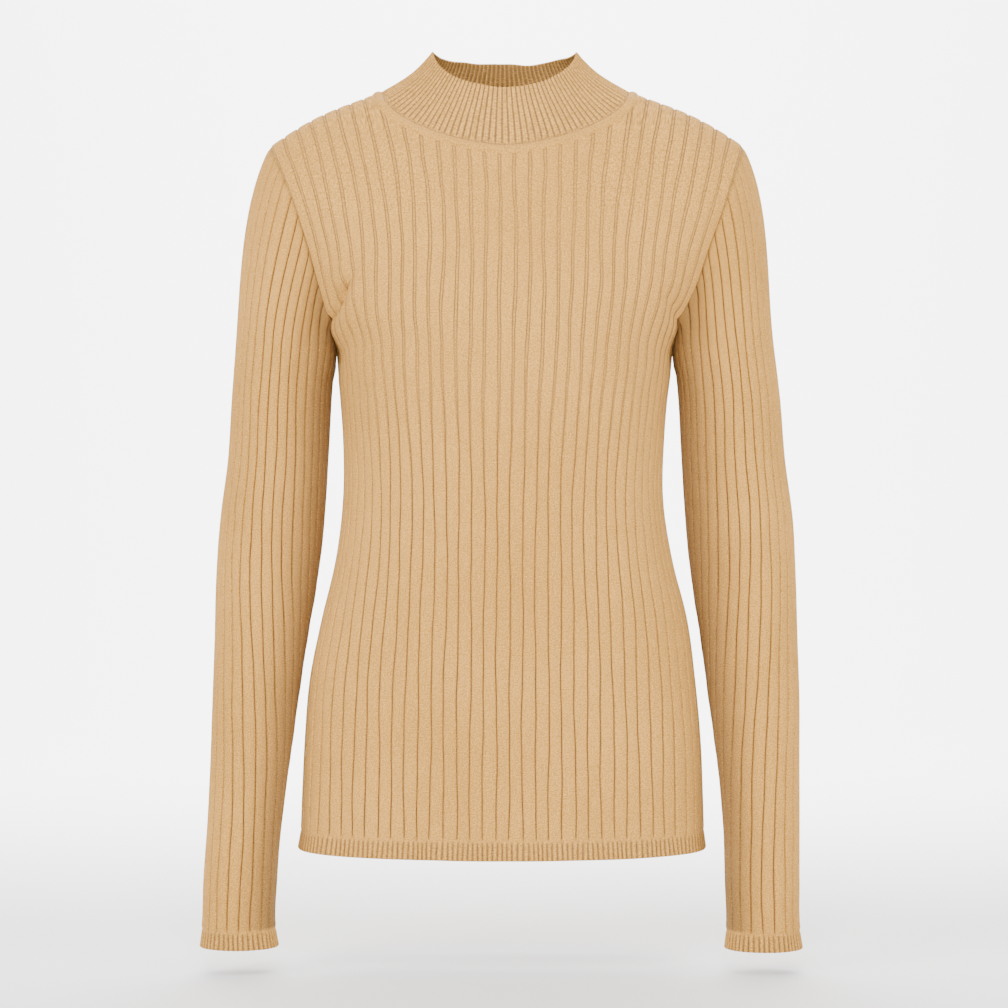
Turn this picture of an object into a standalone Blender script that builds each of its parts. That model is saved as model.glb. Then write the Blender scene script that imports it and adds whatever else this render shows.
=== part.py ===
"""Mock neck sweater in wide flat ribs, filled out with no wearer, as closed cloth walls.

Frame: the front faces -Y, +Z is up, +X is the side that the wearer's left arm is on.
The origin is the middle of the neck, level with the points where neck and shoulders meet.
All sizes below are in millimetres. The mesh is written in metres.
"""
import math

import bmesh
import bpy
import numpy as np

MILLIMETRE = 0.001

# Cloth wall: a plain inside, and ribs raised on the outside.
WALL = 2.2              # at the top of a rib
GROOVE_WALL = 1.2       # at the bottom of the groove between two ribs
SEAM_GAP = 0.3          # between two sewn pieces
GROOVE_SIDE = 0.13      # half the width of a groove, as a share of a rib
FINE_WALL = 2.1         # hem, cuffs and collar: top of a fine rib
FINE_GROOVE_WALL = 1.3  # hem, cuffs and collar: bottom of a fine groove

# Ribs counted across a panel, from its middle.
SIDE_RIBS = 18.5        # to the side seam, at the hem
ARMHOLE_RIBS = 15.5     # to the armhole seam, above the underarm
NECK_RIBS = 7.6         # to the point where neck and shoulder meet
LAST_NECK_CORNER = 7.575        # the neckline's last corner before that point
HEM_FINE_RIBS = 98      # fine ribs along the hem of one panel

# Torso sections from the hem to just below the underarm. Front and back are depths from the
# plane of the shoulders, square is the section's corner exponent, spread the extra width of
# the middle ribs.
TORSO_COLUMNS = ("z", "left", "right", "middle", "front", "front_square", "back",
                 "back_square", "spread")
TORSO = (
    (-618.0, -166.6, 164.2, -0.7, 63.0, 2.60, 87.0, 2.40, 0.00),
    (-604.0, -164.2, 162.4, -0.7, 63.5, 2.60, 88.0, 2.40, 0.00),
    (-580.0, -163.0, 161.4, -0.7, 64.0, 2.60, 90.0, 2.40, 0.00),
    (-530.0, -160.6, 159.3, -0.6, 65.0, 2.60, 91.0, 2.35, 0.00),
    (-481.0, -156.5, 154.8, -0.5, 67.0, 2.55, 88.0, 2.30, 0.01),
    (-432.0, -146.8, 148.3, -0.2, 71.0, 2.40, 82.0, 2.20, 0.03),
    (-383.0, -135.3, 136.1, 0.0, 77.0, 2.25, 76.0, 2.15, 0.06),
    (-334.0, -129.4, 128.7, 0.3, 82.0, 2.12, 72.0, 2.10, 0.09),
    (-284.0, -129.3, 129.5, 0.8, 85.0, 2.10, 75.0, 2.10, 0.12),
    (-252.0, -131.5, 132.0, 1.2, 88.0, 2.12, 81.0, 2.15, 0.13),
    (-227.0, -133.6, 135.2, 1.8, 90.0, 2.16, 86.0, 2.20, 0.13),
    (-205.0, -134.2, 136.2, 2.4, 90.5, 2.22, 90.0, 2.25, 0.13),
)
SEAM_DEPTH = 3.0        # the side seams lie this far behind the plane of the shoulders
HEM_DIP = 4.0           # the middle of the front hem hangs lower by this

# Chest sections above the underarm, out to the armhole seams.
CHEST_COLUMNS = ("z", "left", "right", "middle", "front", "front_edge", "front_square",
                 "back", "back_edge", "back_square", "spread")
CHEST = (
    (-187.0, -138.6, 139.6, 2.8, 90.5, -31.0, 2.30, 92.0, 36.0, 2.30, 0.12),
    (-162.0, -147.4, 153.4, 3.4, 89.5, -38.0, 2.35, 95.0, 46.0, 2.30, 0.10),
    (-132.0, -157.6, 166.0, 3.7, 86.0, -43.0, 2.45, 96.0, 52.0, 2.30, 0.05),
    (-104.0, -168.4, 178.6, 3.4, 81.5, -44.0, 2.60, 93.0, 50.0, 2.35, 0.02),
)
CHEST_TOP = -104.0      # the yoke runs on from here to the shoulder line and the neck
UNDERARM = -187.0       # where the armhole seam leaves the bound-off ribs
YOKE = 100.0            # the yoke is counted from 0 to this, from CHEST_TOP
LAST_YOKE_ROW = 0.84    # rows above this share of the yoke bend towards the neckline

# Shoulders and the neckline.
SHOULDER_TIP = {-1: (-189.6, 2.0, -45.5), 1: (194.4, 2.0, -45.0)}
SHOULDER_BOW = 4.5      # the shoulder line rises above a straight one by this
NECK_MIDDLE = 1.5
NECK_HALF = 106.0
NECK_SIDE = (2.0, -3.0)           # depth and height of the point where neck and shoulder meet
NECK_LOW = {"front": -57.0, "back": -14.0}      # height of the neckline in the middle
YOKE_OVER = {
    "front": {"depth": -42.0, "rise": 14.0, "turn": 50.0},
    "back": {"depth": 57.0, "rise": 3.0, "turn": 62.0},
}
UNDERARM_POINT = {-1: (-137.3, 4.0, -194.5), 1: (138.7, 4.0, -196.0)}

# Rows of a panel up to the underarm, and then those that end on the armhole seam, each
# with the count of sleeve ribs between it and the top of the shoulder.
HEM_ROWS = (-618.0, -603.5)
PANEL_ROWS = (-602.0, -546.0, -488.0, -433.0, -379.0, -325.0, -268.0, -214.0)
ARMHOLE_ROWS = (
    (-187.0, 13.0), (-166.0, 11.5), (-146.0, 10.0), (-125.0, 8.5), (-104.0, 7.0),
    (-72.0, 5.3), (-44.0, 3.3), (-20.0, 1.5), (-4.0, 0.0),
)

# Sleeves: rings from just below the underarm to the cuff. ribs is the count from the outer
# line to the underarm seam, on either side.
SLEEVE_COLUMNS = ("z", "centre", "depth", "half_width", "half_depth", "ribs")
SLEEVE = {
    -1: (
        (-208.0, -178.6, 0.0, 38.4, 40.0, 16.0),
        (-252.0, -182.0, 2.0, 38.4, 40.0, 16.0),
        (-301.0, -184.9, 4.0, 38.8, 40.0, 15.7),
        (-350.0, -189.8, 5.5, 40.4, 40.5, 15.3),
        (-399.0, -194.3, 5.0, 39.2, 40.0, 14.4),
        (-449.0, -198.8, 0.0, 35.5, 38.0, 12.9),
        (-498.0, -202.7, -8.0, 32.6, 34.5, 11.6),
        (-545.0, -206.0, -17.0, 30.0, 31.5, 10.5),
        (-593.0, -209.7, -26.0, 27.8, 28.5, 9.8),
        (-641.0, -212.8, -33.0, 27.4, 27.5, 9.5),
        (-679.0, -213.6, -38.0, 27.6, 27.0, 9.5),
        (-693.5, -213.0, -40.0, 29.8, 29.0, 9.5),
    ),
    1: (
        (-208.0, 180.4, 0.0, 38.6, 40.0, 16.0),
        (-252.0, 185.3, 2.0, 39.2, 40.0, 16.0),
        (-301.0, 188.6, 4.0, 40.0, 40.5, 15.7),
        (-350.0, 193.5, 5.5, 41.7, 41.5, 15.3),
        (-399.0, 197.2, 5.0, 40.4, 41.0, 14.5),
        (-449.0, 201.3, 0.0, 37.2, 39.0, 13.1),
        (-498.0, 204.7, -8.0, 34.6, 35.5, 11.8),
        (-545.0, 207.2, -17.0, 31.2, 32.0, 10.6),
        (-593.0, 208.9, -26.0, 28.7, 29.0, 9.8),
        (-641.0, 209.1, -33.0, 27.8, 27.5, 9.5),
        (-681.0, 209.5, -38.0, 27.7, 27.0, 9.5),
        (-695.0, 209.7, -40.0, 29.6, 29.0, 9.5),
    ),
}
CAP_TOP = -208.0        # the sleeve cap runs from the armhole seam down to this height
CAP_ROWS = (0.12, 0.32, 0.62, 1.0)
ARM_ROWS = (-262.0, -325.0, -385.0, -445.0, -520.0, -600.0)
CUFF_HEIGHT = 14.0
CUFF_FINE_RIBS = 46

# Collar: its rim, the direction it rises in, and the plain band along its seam.
RIM_MIDDLE = 0.8
RIM_HALF = 57.5
RIM_DEPTH = {"front": -53.0, "back": 56.0}
RIM_HEIGHT = {"front": -5.0, "side": 33.0, "back": 31.5}
COLLAR_FINE_RIBS = 104
BASE_RISE = {"front": 72.0, "side": 26.0, "back": 74.0}
RIM_RISE = {"front": 62.0, "side": 52.0, "back": 78.0}
COLLAR_ROWS = (0.16, 0.55, 1.0)
BAND_ROWS = (0.0, 0.07, 0.14)
BAND_WALL = (2.4, 3.3, 2.0)


def unit(vectors):
    """Vectors made one long, a row each."""
    vectors = np.asarray(vectors, float)
    return vectors / np.linalg.norm(vectors, axis=-1, keepdims=True)


def smooth_row(table, place):
    """A table's row at any place along its first column, by a smooth curve through its rows."""
    table = np.asarray(table, float)
    if table[0, 0] > table[-1, 0]:
        table = table[::-1]
    knots = table[:, 0]
    slopes = np.gradient(table, knots, axis=0)
    k = int(np.clip(np.searchsorted(knots, place) - 1, 0, len(knots) - 2))
    step = knots[k + 1] - knots[k]
    t = float(np.clip((place - knots[k]) / step, 0.0, 1.0))
    return ((1 + 2 * t) * (1 - t) ** 2 * table[k] + t * (1 - t) ** 2 * step * slopes[k]
            + t * t * (3 - 2 * t) * table[k + 1] - t * t * (1 - t) * step * slopes[k + 1])


def blend(start, start_way, end, end_way, t):
    """Points at share t of the curves that leave start along start_way and reach end."""
    t = np.asarray(t, float)
    if t.ndim:
        t = t[:, None]
    return ((1 + 2 * t) * (1 - t) ** 2 * start + t * (1 - t) ** 2 * start_way
            + t * t * (3 - 2 * t) * end - t * t * (1 - t) * end_way)


def quarter(half, depth, square, reach):
    """Points on a quarter of a squared oval, at shares of its length from the middle."""
    turn = np.linspace(0.0, math.pi / 2, 241)
    across = half * np.sin(turn) ** (2 / square)
    deep = depth * np.cos(turn) ** (2 / square)
    length = np.append(0.0, np.cumsum(np.hypot(np.diff(across), np.diff(deep))))
    along = np.clip(reach, 0.0, 1.0) * length[-1]
    return np.interp(along, length, across), np.interp(along, length, deep)


def rib_reach(ribs, spread):
    """How far out a rib lies, from 0 in the middle to 1 at the armhole seam's column."""
    t = np.abs(ribs) / ARMHOLE_RIBS
    return t * (1 + spread * (1 - t))


def edge_reach(depth, square, edge):
    """Share of a quarter oval's half width and of its length at a given depth."""
    turn = np.linspace(0.0, math.pi / 2, 2001)
    across = np.sin(turn) ** (2 / square)
    deep = np.cos(turn) ** (2 / square)
    k = int(np.argmin(np.abs(deep * depth - edge)))
    length = np.append(0.0, np.cumsum(np.hypot(np.diff(across) * 160.0, np.diff(deep) * depth)))
    return across[k], length[k] / length[-1]


def panel_levels(side):
    """Sections of the front or back as rows of z, middle, half widths, depth and shape."""
    rows = []
    for level in TORSO:
        row = dict(zip(TORSO_COLUMNS, level))
        depth = row["front"] + SEAM_DEPTH if side == "front" else row["back"] - SEAM_DEPTH
        full = 1 / rib_reach(SIDE_RIBS, row["spread"])
        rows.append((row["z"], row["middle"], row["middle"] - row["left"],
                     row["right"] - row["middle"], depth, row[side + "_square"], full,
                     row["spread"]))
    for level in CHEST:
        row = dict(zip(CHEST_COLUMNS, level))
        depth = row["front"] + SEAM_DEPTH if side == "front" else row["back"] - SEAM_DEPTH
        edge = abs(row[side + "_edge"] - SEAM_DEPTH)
        share, full = edge_reach(depth, row[side + "_square"], edge)
        rows.append((row["z"], row["middle"], (row["middle"] - row["left"]) / share,
                     (row["right"] - row["middle"]) / share, depth, row[side + "_square"],
                     full, row["spread"]))
    return np.array(rows)


LEVELS = {side: panel_levels(side) for side in ("front", "back")}


def section(side, ribs, z):
    """Inside points of a panel at one height, at rib counts from its middle."""
    ribs = np.asarray(ribs, float)
    _, middle, half_left, half_right, depth, square, full, spread = smooth_row(LEVELS[side], z)
    reach = full * rib_reach(ribs, spread)
    left, deep_left = quarter(half_left, depth, square, reach)
    right, deep_right = quarter(half_right, depth, square, reach)
    across = np.where(ribs < 0, middle - left, middle + right)
    deep = np.where(ribs < 0, deep_left, deep_right)
    towards = -1 if side == "front" else 1
    dip = 0.0
    if side == "front":
        dip = HEM_DIP * max(0.0, 1 - (z + 618.0) / 110.0) ** 2
    height = z - dip * (1 - np.clip(np.abs(ribs) / SIDE_RIBS, 0, 1) ** 2)
    return np.stack([across, SEAM_DEPTH + towards * deep, height], axis=-1)


def yoke_end(side, ribs):
    """Where a panel's ribs would end on the shoulder line, which runs on across the neck,
    and the directions in which they reach it."""
    ribs = np.asarray(ribs, float)
    hand = np.where(ribs < 0, -1.0, 1.0)
    t = np.clip(np.abs(ribs) / NECK_RIBS, 0.0, 1.0)
    over = YOKE_OVER[side]
    inside = (1 - t ** 2) ** 2
    ends = np.stack([
        NECK_MIDDLE + hand * NECK_HALF * (0.9 * t + 0.1 * t ** 3),
        NECK_SIDE[0] + over["depth"] * inside,
        NECK_SIDE[1] + over["rise"] * inside,
    ], axis=-1)
    past = np.clip((np.abs(ribs) - NECK_RIBS) / (ARMHOLE_RIBS - NECK_RIBS), 0.0, 1.0)
    tips = np.array([SHOULDER_TIP[-1 if r < 0 else 1] for r in ribs])
    ends += past[:, None] * (tips - ends)
    ends[:, 2] += SHOULDER_BOW * np.sin(math.pi * past ** 1.2)
    turn = np.radians(90.0 - over["turn"] * inside)
    towards = 1.0 if side == "front" else -1.0
    ways = np.stack([np.zeros_like(turn), towards * np.sin(turn), np.cos(turn)], axis=-1)
    return ends, ways


def yoke(side, ribs, t):
    """Inside points of a panel between the chest (0) and the shoulder line (1)."""
    start = section(side, ribs, CHEST_TOP)
    way = unit(start - section(side, ribs, CHEST_TOP - 4.0))
    ends, ways = yoke_end(side, ribs)
    length = np.linalg.norm(ends - start, axis=-1, keepdims=True)
    return blend(start, way * length, ends, ways * length * 0.9, t)


def neck_share(side, ribs):
    """The share of the yoke at which each rib is cut off by the neckline."""
    ribs = np.asarray(ribs, float)
    steps = np.linspace(0.0, 1.0, 61)
    shares = np.ones(len(ribs))
    above = np.stack([yoke(side, ribs, np.full(len(ribs), t)) for t in steps], axis=1)
    across = np.clip(np.abs(above[..., 0] - NECK_MIDDLE) / NECK_HALF, 0.0, 1.0)
    rise = (1 - np.sqrt(1 - across ** 2)) ** 0.8
    line = NECK_LOW[side] + (NECK_SIDE[1] - NECK_LOW[side]) * rise
    past = above[..., 2] - line
    for k, rib in enumerate(ribs):
        crossed = np.nonzero(past[k] >= 0)[0]
        if abs(rib) < NECK_RIBS - 1e-6 and len(crossed) and crossed[0] > 0:
            j = crossed[0]
            part = past[k, j - 1] / (past[k, j - 1] - past[k, j])
            shares[k] = steps[j - 1] + part * (steps[j] - steps[j - 1])
    return shares


def yoke_share(side, ribs, place):
    """How far up the yoke each rib is at a row's place, up to where the neckline cuts it."""
    t = (place - CHEST_TOP) / YOKE
    cut = neck_share(side, ribs)
    middle = neck_share(side, [0.5])[0]
    even = middle + (1 - middle) * (np.abs(ribs) / ARMHOLE_RIBS) ** 1.5
    near = np.clip((t - LAST_YOKE_ROW) / (1 - LAST_YOKE_ROW), 0.0, 1.0)
    return t * (even + (cut - even) * near)


def panel(side, ribs, place):
    """Inside points of a panel along one row: a height up to the chest, then the yoke."""
    ribs = np.asarray(ribs, float)
    if place <= CHEST_TOP:
        points = section(side, ribs, place)
        low = TORSO[-2][0]
        if place > low:
            outer = np.abs(ribs) > ARMHOLE_RIBS
            if outer.any():
                points[outer] = underarm_part(side, ribs[outer], place, low)
        return points
    return yoke(side, ribs, yoke_share(side, ribs, place))


def bound_off(side, ribs):
    """The top of the ribs that end at the underarm."""
    hand = np.where(ribs < 0, -1, 1)
    corner = np.array([section(side, [h * ARMHOLE_RIBS], UNDERARM)[0] for h in hand])
    point = np.array([UNDERARM_POINT[int(h)] for h in hand])
    t = (np.abs(ribs) - ARMHOLE_RIBS) / (SIDE_RIBS - ARMHOLE_RIBS)
    line = corner + (point - corner) * t[:, None]
    line[:, 2] = corner[:, 2] + (point - corner)[:, 2] * np.sin(t * math.pi / 2)
    return line


def underarm_part(side, ribs, place, low):
    """Points of the ribs that end at the underarm, between a low section and their top."""
    hand = np.where(ribs < 0, -1.0, 1.0)
    t = np.clip((place - low) / (UNDERARM - low), 0.0, 1.0)
    edge = hand * ARMHOLE_RIBS
    base = section(side, edge, place)
    below = section(side, ribs, low)
    shift = (below + (bound_off(side, ribs) - below) * t)
    edge_below = section(side, edge, low)
    edge_shift = edge_below + (bound_off(side, edge) - edge_below) * t
    inward = 1 - ((np.abs(ribs) - ARMHOLE_RIBS) / (SIDE_RIBS - ARMHOLE_RIBS))[:, None]
    return shift + (base - edge_shift) * inward


def panel_normals(side, ribs, place):
    """Outward directions of a panel along one row."""
    ribs = np.asarray(ribs, float)
    top = UNDERARM if np.abs(ribs).max() > ARMHOLE_RIBS + 1e-6 else CHEST_TOP
    limit = SIDE_RIBS if place <= UNDERARM else ARMHOLE_RIBS
    left = np.maximum(ribs - 0.05, -limit)
    right = np.minimum(ribs + 0.05, limit)
    if place > CHEST_TOP:
        share = yoke_share(side, ribs, place)
        across = yoke(side, right, share) - yoke(side, left, share)
        up = (yoke(side, ribs, np.minimum(share + 0.015, 1.0))
              - yoke(side, ribs, share - 0.015))
    else:
        low = max(place - 1.5, HEM_ROWS[0])
        high = min(place + 1.5, top)
        across = panel(side, right, place) - panel(side, left, place)
        up = panel(side, ribs, high) - panel(side, ribs, low)
    turned = np.cross(across, up)
    return unit(turned if side == "front" else -turned)


def ring(hand, ribs, z):
    """Inside points of a sleeve at one height, at rib counts from its outer line."""
    row = dict(zip(SLEEVE_COLUMNS, smooth_row(SLEEVE[hand], z)))
    turn = math.pi * np.asarray(ribs, float) / row["ribs"]
    return np.stack([row["centre"] + hand * row["half_width"] * np.cos(turn),
                     row["depth"] - row["half_depth"] * np.sin(turn),
                     np.full(turn.shape, z)], axis=-1)


def sleeve_count(hand, z):
    """Ribs between the outer line and the underarm seam at one height."""
    return float(dict(zip(SLEEVE_COLUMNS, smooth_row(SLEEVE[hand], z)))["ribs"])


def armhole(hand):
    """The armhole seam as corners: rib counts of the sleeve, points, outward directions,
    and the directions that lead from the panels to the sleeve."""
    corners = []
    for side, sign in (("back", -1), ("front", 1)):
        edge = hand * ARMHOLE_RIBS
        for place, count in ARMHOLE_ROWS:
            if count == 0.0 and side == "back":
                continue
            point = panel(side, [edge], place)[0]
            corners.append((sign * count, point, panel_normals(side, [edge], place)[0]))
        for extra in (1.0, 2.0, 3.0):
            outer = np.array([hand * (ARMHOLE_RIBS + extra)])
            if extra == 3.0 and side == "back":
                continue
            point = bound_off(side, outer)[0]
            face = np.array([float(hand), -0.55 * sign * (1 - extra / 3), 0.0])
            corners.append((sign * (13.0 + extra), point, unit(face)))
    corners.sort(key=lambda corner: corner[0])
    counts = np.array([c[0] for c in corners])
    points = np.array([c[1] for c in corners])
    normals = np.array([c[2] for c in corners])
    tip = counts == 0.0
    normals[tip] = unit([hand * 0.62, 0.0, 0.78])
    share = np.clip((np.abs(counts) - 5.0) / 11.0, 0.0, 1.0) ** 1.5
    turn = math.pi * counts / 16.0
    tube = np.stack([hand * np.cos(turn), -np.sin(turn), np.zeros_like(turn)], axis=-1)
    down = np.array([0.0, 0.0, -1.0])
    normals = unit(normals + share[:, None] * tube + (share ** 2)[:, None] * down)
    counts = np.append(counts[-1] - 32.0, counts)
    points = np.vstack([points[-1:], points])
    normals = np.vstack([normals[-1:], normals])
    before = np.vstack([points[-2:-1], points[:-1]])
    after = np.vstack([points[1:], points[1:2]])
    seam = unit(after - before)
    leads = unit(np.cross(seam, normals)) * hand
    outward = points - np.array([hand * 60.0, 0.0, -60.0])
    if np.sum(leads * outward) < 0:
        leads = -leads
    return counts, points, normals, leads


def along(places, rows, at):
    """Rows between corners, in straight steps."""
    return np.stack([np.interp(at, places, rows[:, k]) for k in range(rows.shape[1])], axis=-1)


ARMHOLES = {hand: armhole(hand) for hand in (-1, 1)}


def fold_under(ribs):
    """How far a sleeve's ribs lie in the tight fold under the arm, from 0 to 1."""
    low = np.clip((np.abs(ribs)[:, None] - 9.0) / 5.0, 0.0, 1.0)
    return low * low * (3 - 2 * low)


def sleeve_cap(hand, ribs, t):
    """Inside points of a sleeve between the armhole seam (0) and its first ring (1)."""
    counts, points, normals, leads = ARMHOLES[hand]
    ribs = np.asarray(ribs, float)
    start = along(counts, points, ribs)
    end = ring(hand, ribs, CAP_TOP)
    end_way = unit(ring(hand, ribs, CAP_TOP - 3.0) - end)
    length = np.linalg.norm(end - start, axis=-1, keepdims=True)
    face = along(counts, normals, ribs)
    fall = np.tile(unit([hand * 0.30, 0.0, -0.95]), (len(ribs), 1))
    fall = unit(fall - 0.3 * np.sum(fall * face, axis=-1, keepdims=True) * face)
    low = fold_under(ribs)
    way = unit((1 - low) * fall + low * along(counts, leads, ribs))
    reach = (1 - low) * length * 0.95 + low * 5.0
    return blend(start, way * reach, end, end_way * length * (1 - 0.4 * low), t)


def sleeve(hand, ribs, place):
    """Inside points of a sleeve: 0 to 1 on the cap, then a height."""
    if place >= 0.0:
        return sleeve_cap(hand, ribs, place)
    return ring(hand, ribs, place)


def sleeve_normals(hand, ribs, place):
    """Outward directions of a sleeve along one row."""
    ribs = np.asarray(ribs, float)
    across = sleeve(hand, ribs + 0.05, place) - sleeve(hand, ribs - 0.05, place)
    if place >= 0.0:
        down = sleeve(hand, ribs, min(place + 0.02, 1.0)) - sleeve(hand, ribs, place - 0.02)
    else:
        floor = SLEEVE[hand][-1][0]
        down = sleeve(hand, ribs, max(place - 1.5, floor)) - sleeve(hand, ribs, place + 1.5)
    turned = np.cross(across, down) * hand
    middle = sleeve(hand, ribs, place).mean(axis=0)
    if np.sum(turned * (sleeve(hand, ribs, place) - middle)) < 0:
        turned = -turned
    turned = unit(turned)
    if place >= 0.0:
        counts, _, faces, _ = ARMHOLES[hand]
        turn = math.pi * ribs / 16.0
        tube = np.stack([hand * np.cos(turn), -np.sin(turn), np.zeros_like(turn)], axis=-1)
        eased = unit((1 - place) * along(counts, faces, ribs) + place * tube)
        low = fold_under(ribs)
        turned = unit((1 - low) * turned + low * eased)
    return turned


class Wall:
    """A closed cloth wall, built up from rows of points that are stitched together."""

    def __init__(self):
        self.points = []
        self.faces = []

    def row(self, places, points):
        """Adds a row of points and returns it as pairs of place and vertex."""
        first = len(self.points)
        self.points.extend(np.asarray(points, float))
        return [(float(p), first + k) for k, p in enumerate(places)]

    def stitch(self, one, other):
        """Joins two rows with triangles, whatever number of points each has."""
        i = j = 0
        while i < len(one) - 1 or j < len(other) - 1:
            if j == len(other) - 1:
                ahead = True
            elif i == len(one) - 1:
                ahead = False
            else:
                ahead = one[i][0] + one[i + 1][0] <= other[j][0] + other[j + 1][0] + 1e-9
            if ahead:
                corner = (one[i][1], one[i + 1][1], other[j][1])
                i += 1
            else:
                corner = (one[i][1], other[j + 1][1], other[j][1])
                j += 1
            if len(set(corner)) == 3:
                self.faces.append(corner)

    def build(self, name, material):
        """Makes the wall's object, with its faces turned outwards."""
        mesh = bpy.data.meshes.new(name)
        obj = bpy.data.objects.new(name, mesh)
        work = bmesh.new()
        corners = [work.verts.new(p * MILLIMETRE) for p in self.points]
        for face in self.faces:
            work.faces.new([corners[k] for k in face])
        bmesh.ops.recalc_face_normals(work, faces=work.faces)
        if work.calc_volume(signed=True) < 0:
            bmesh.ops.reverse_faces(work, faces=work.faces)
        work.to_mesh(mesh)
        work.free()
        mesh.materials.append(material)
        garment.objects.link(obj)
        return obj


def columns(half):
    """Places across a panel, out to half: three to each groove, two to each edge."""
    places = []
    groove = -half + 1.0
    while groove < half - 0.5:
        places += [groove - GROOVE_SIDE, groove, groove + GROOVE_SIDE]
        groove += 1.0
    return np.array([-half, -half + GROOVE_SIDE] + places + [half - GROOVE_SIDE, half])


def wide_wall(places, half):
    """Wall thickness at places across: less at each groove and at the panel's edges."""
    off = np.abs(places - 0.5 - np.round(places - 0.5))
    groove = (off < 1e-6) | (np.abs(np.abs(places) - half) < 1e-6)
    return np.where(groove, GROOVE_WALL, WALL)


def fine_columns(half, ribs):
    """Places along a band of fine ribs, two to each rib, and the wall at each."""
    places = np.linspace(-half, half, 2 * ribs + 1)
    wall = np.where(np.arange(len(places)) % 2 == 0, FINE_GROOVE_WALL, FINE_WALL)
    return places, wall


def coarse(half):
    """Places across a panel for its plain inside."""
    inner = np.arange(1.5, ARMHOLE_RIBS + 0.1, 2.0)
    if half > ARMHOLE_RIBS:
        inner = np.append(inner, [17.0, SIDE_RIBS])
    return np.concatenate([-inner[::-1], inner])


def make_panel(side, material):
    """The front or the back: hem, body, and the part between the armholes."""
    wall = Wall()
    half_gap = SEAM_GAP / 2
    to_other = np.array([0.0, half_gap if side == "front" else -half_gap, 0.0])
    sign = 1 if side == "front" else -1

    def frames(places, place):
        """Inside points and outward directions of a row, with the seams' own at the ends."""
        base = panel(side, places, place)
        normals = panel_normals(side, places, place)
        seam = {p: c for p, c in ARMHOLE_ROWS}
        if place in seam:
            for k, p in enumerate(places):
                over = abs(p) - ARMHOLE_RIBS
                at_notch = place == UNDERARM and over >= -1e-6
                at_edge = abs(over) < 1e-6
                if not (at_notch or at_edge):
                    continue
                hand = -1 if p < 0 else 1
                counts, points, faces, leads = ARMHOLES[hand]
                count = sign * (seam[place] + max(0.0, over))
                base[k] = along(counts, points, [count])[0]
                normals[k] = along(counts, faces, [count])[0]
                base[k] -= along(counts, leads, [count])[0] * half_gap
        if place <= UNDERARM:
            for k in (0, -1):
                if abs(abs(places[k]) - SIDE_RIBS) < 1e-6:
                    base[k] -= to_other
                    if place < UNDERARM:
                        normals[k] = (np.sign(places[k]), 0.0, 0.0)
        return base, normals

    outer = []
    inner = []
    places, thick = fine_columns(SIDE_RIBS, HEM_FINE_RIBS)
    for place in HEM_ROWS:
        base, normals = frames(places, place)
        outer.append((place, wall.row(places, base + normals * thick[:, None])))
    base, normals = frames(coarse(SIDE_RIBS), HEM_ROWS[0])
    inner.append((HEM_ROWS[0], wall.row(coarse(SIDE_RIBS), base)))
    rows = [(place, SIDE_RIBS) for place in PANEL_ROWS]
    rows += [(place, SIDE_RIBS if place == UNDERARM else ARMHOLE_RIBS)
             for place, _ in ARMHOLE_ROWS[:-1]]
    for place, half in rows:
        places = columns(half)
        thick = wide_wall(places, half)
        base, normals = frames(places, place)
        outer.append((place, wall.row(places, base + normals * thick[:, None])))
        base, normals = frames(coarse(half), place)
        inner.append((place, wall.row(coarse(half), base)))
    # The top row follows the neckline and the shoulder line from corner to corner.
    place = ARMHOLE_ROWS[-1][0]
    counts, base, normals, leads = TOPS[side]
    places = np.unique(np.round(np.append(columns(ARMHOLE_RIBS), counts), 6))
    thick = wide_wall(places, ARMHOLE_RIBS)
    top = along(counts, base - leads * half_gap, places)
    face = along(counts, normals, places)
    outer.append((place, wall.row(places, top + face * thick[:, None])))
    inner.append((place, wall.row(counts, base - leads * half_gap)))

    for rows in (outer, inner):
        for (place, low), (_, high) in zip(rows, rows[1:]):
            if place == UNDERARM:
                low = [c for c in low if abs(c[0]) < ARMHOLE_RIBS + 1e-6]
            wall.stitch(low, high)
    wall.stitch(outer[0][1], inner[0][1])
    wall.stitch(outer[-1][1], inner[-1][1])
    notch_outer = dict(outer)[UNDERARM]
    notch_inner = dict(inner)[UNDERARM]
    for hand in (-1, 1):
        past = [[c for c in row if hand * c[0] > ARMHOLE_RIBS - 1e-6]
                for row in (notch_outer, notch_inner)]
        wall.stitch(past[0], past[1])
        for low, high in ((HEM_ROWS[0], UNDERARM), (UNDERARM, ARMHOLE_ROWS[-1][0])):
            limit = SIDE_RIBS if high == UNDERARM else ARMHOLE_RIBS
            edges = []
            for rows in (outer, inner):
                edge = []
                for place, row in rows:
                    if low <= place <= high:
                        end = [c for c in row if abs(c[0] - hand * limit) < 1e-6]
                        edge.append((place, end[0][1]))
                edges.append(edge)
            wall.stitch(edges[0], edges[1])
    return wall.build(side, material)


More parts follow.
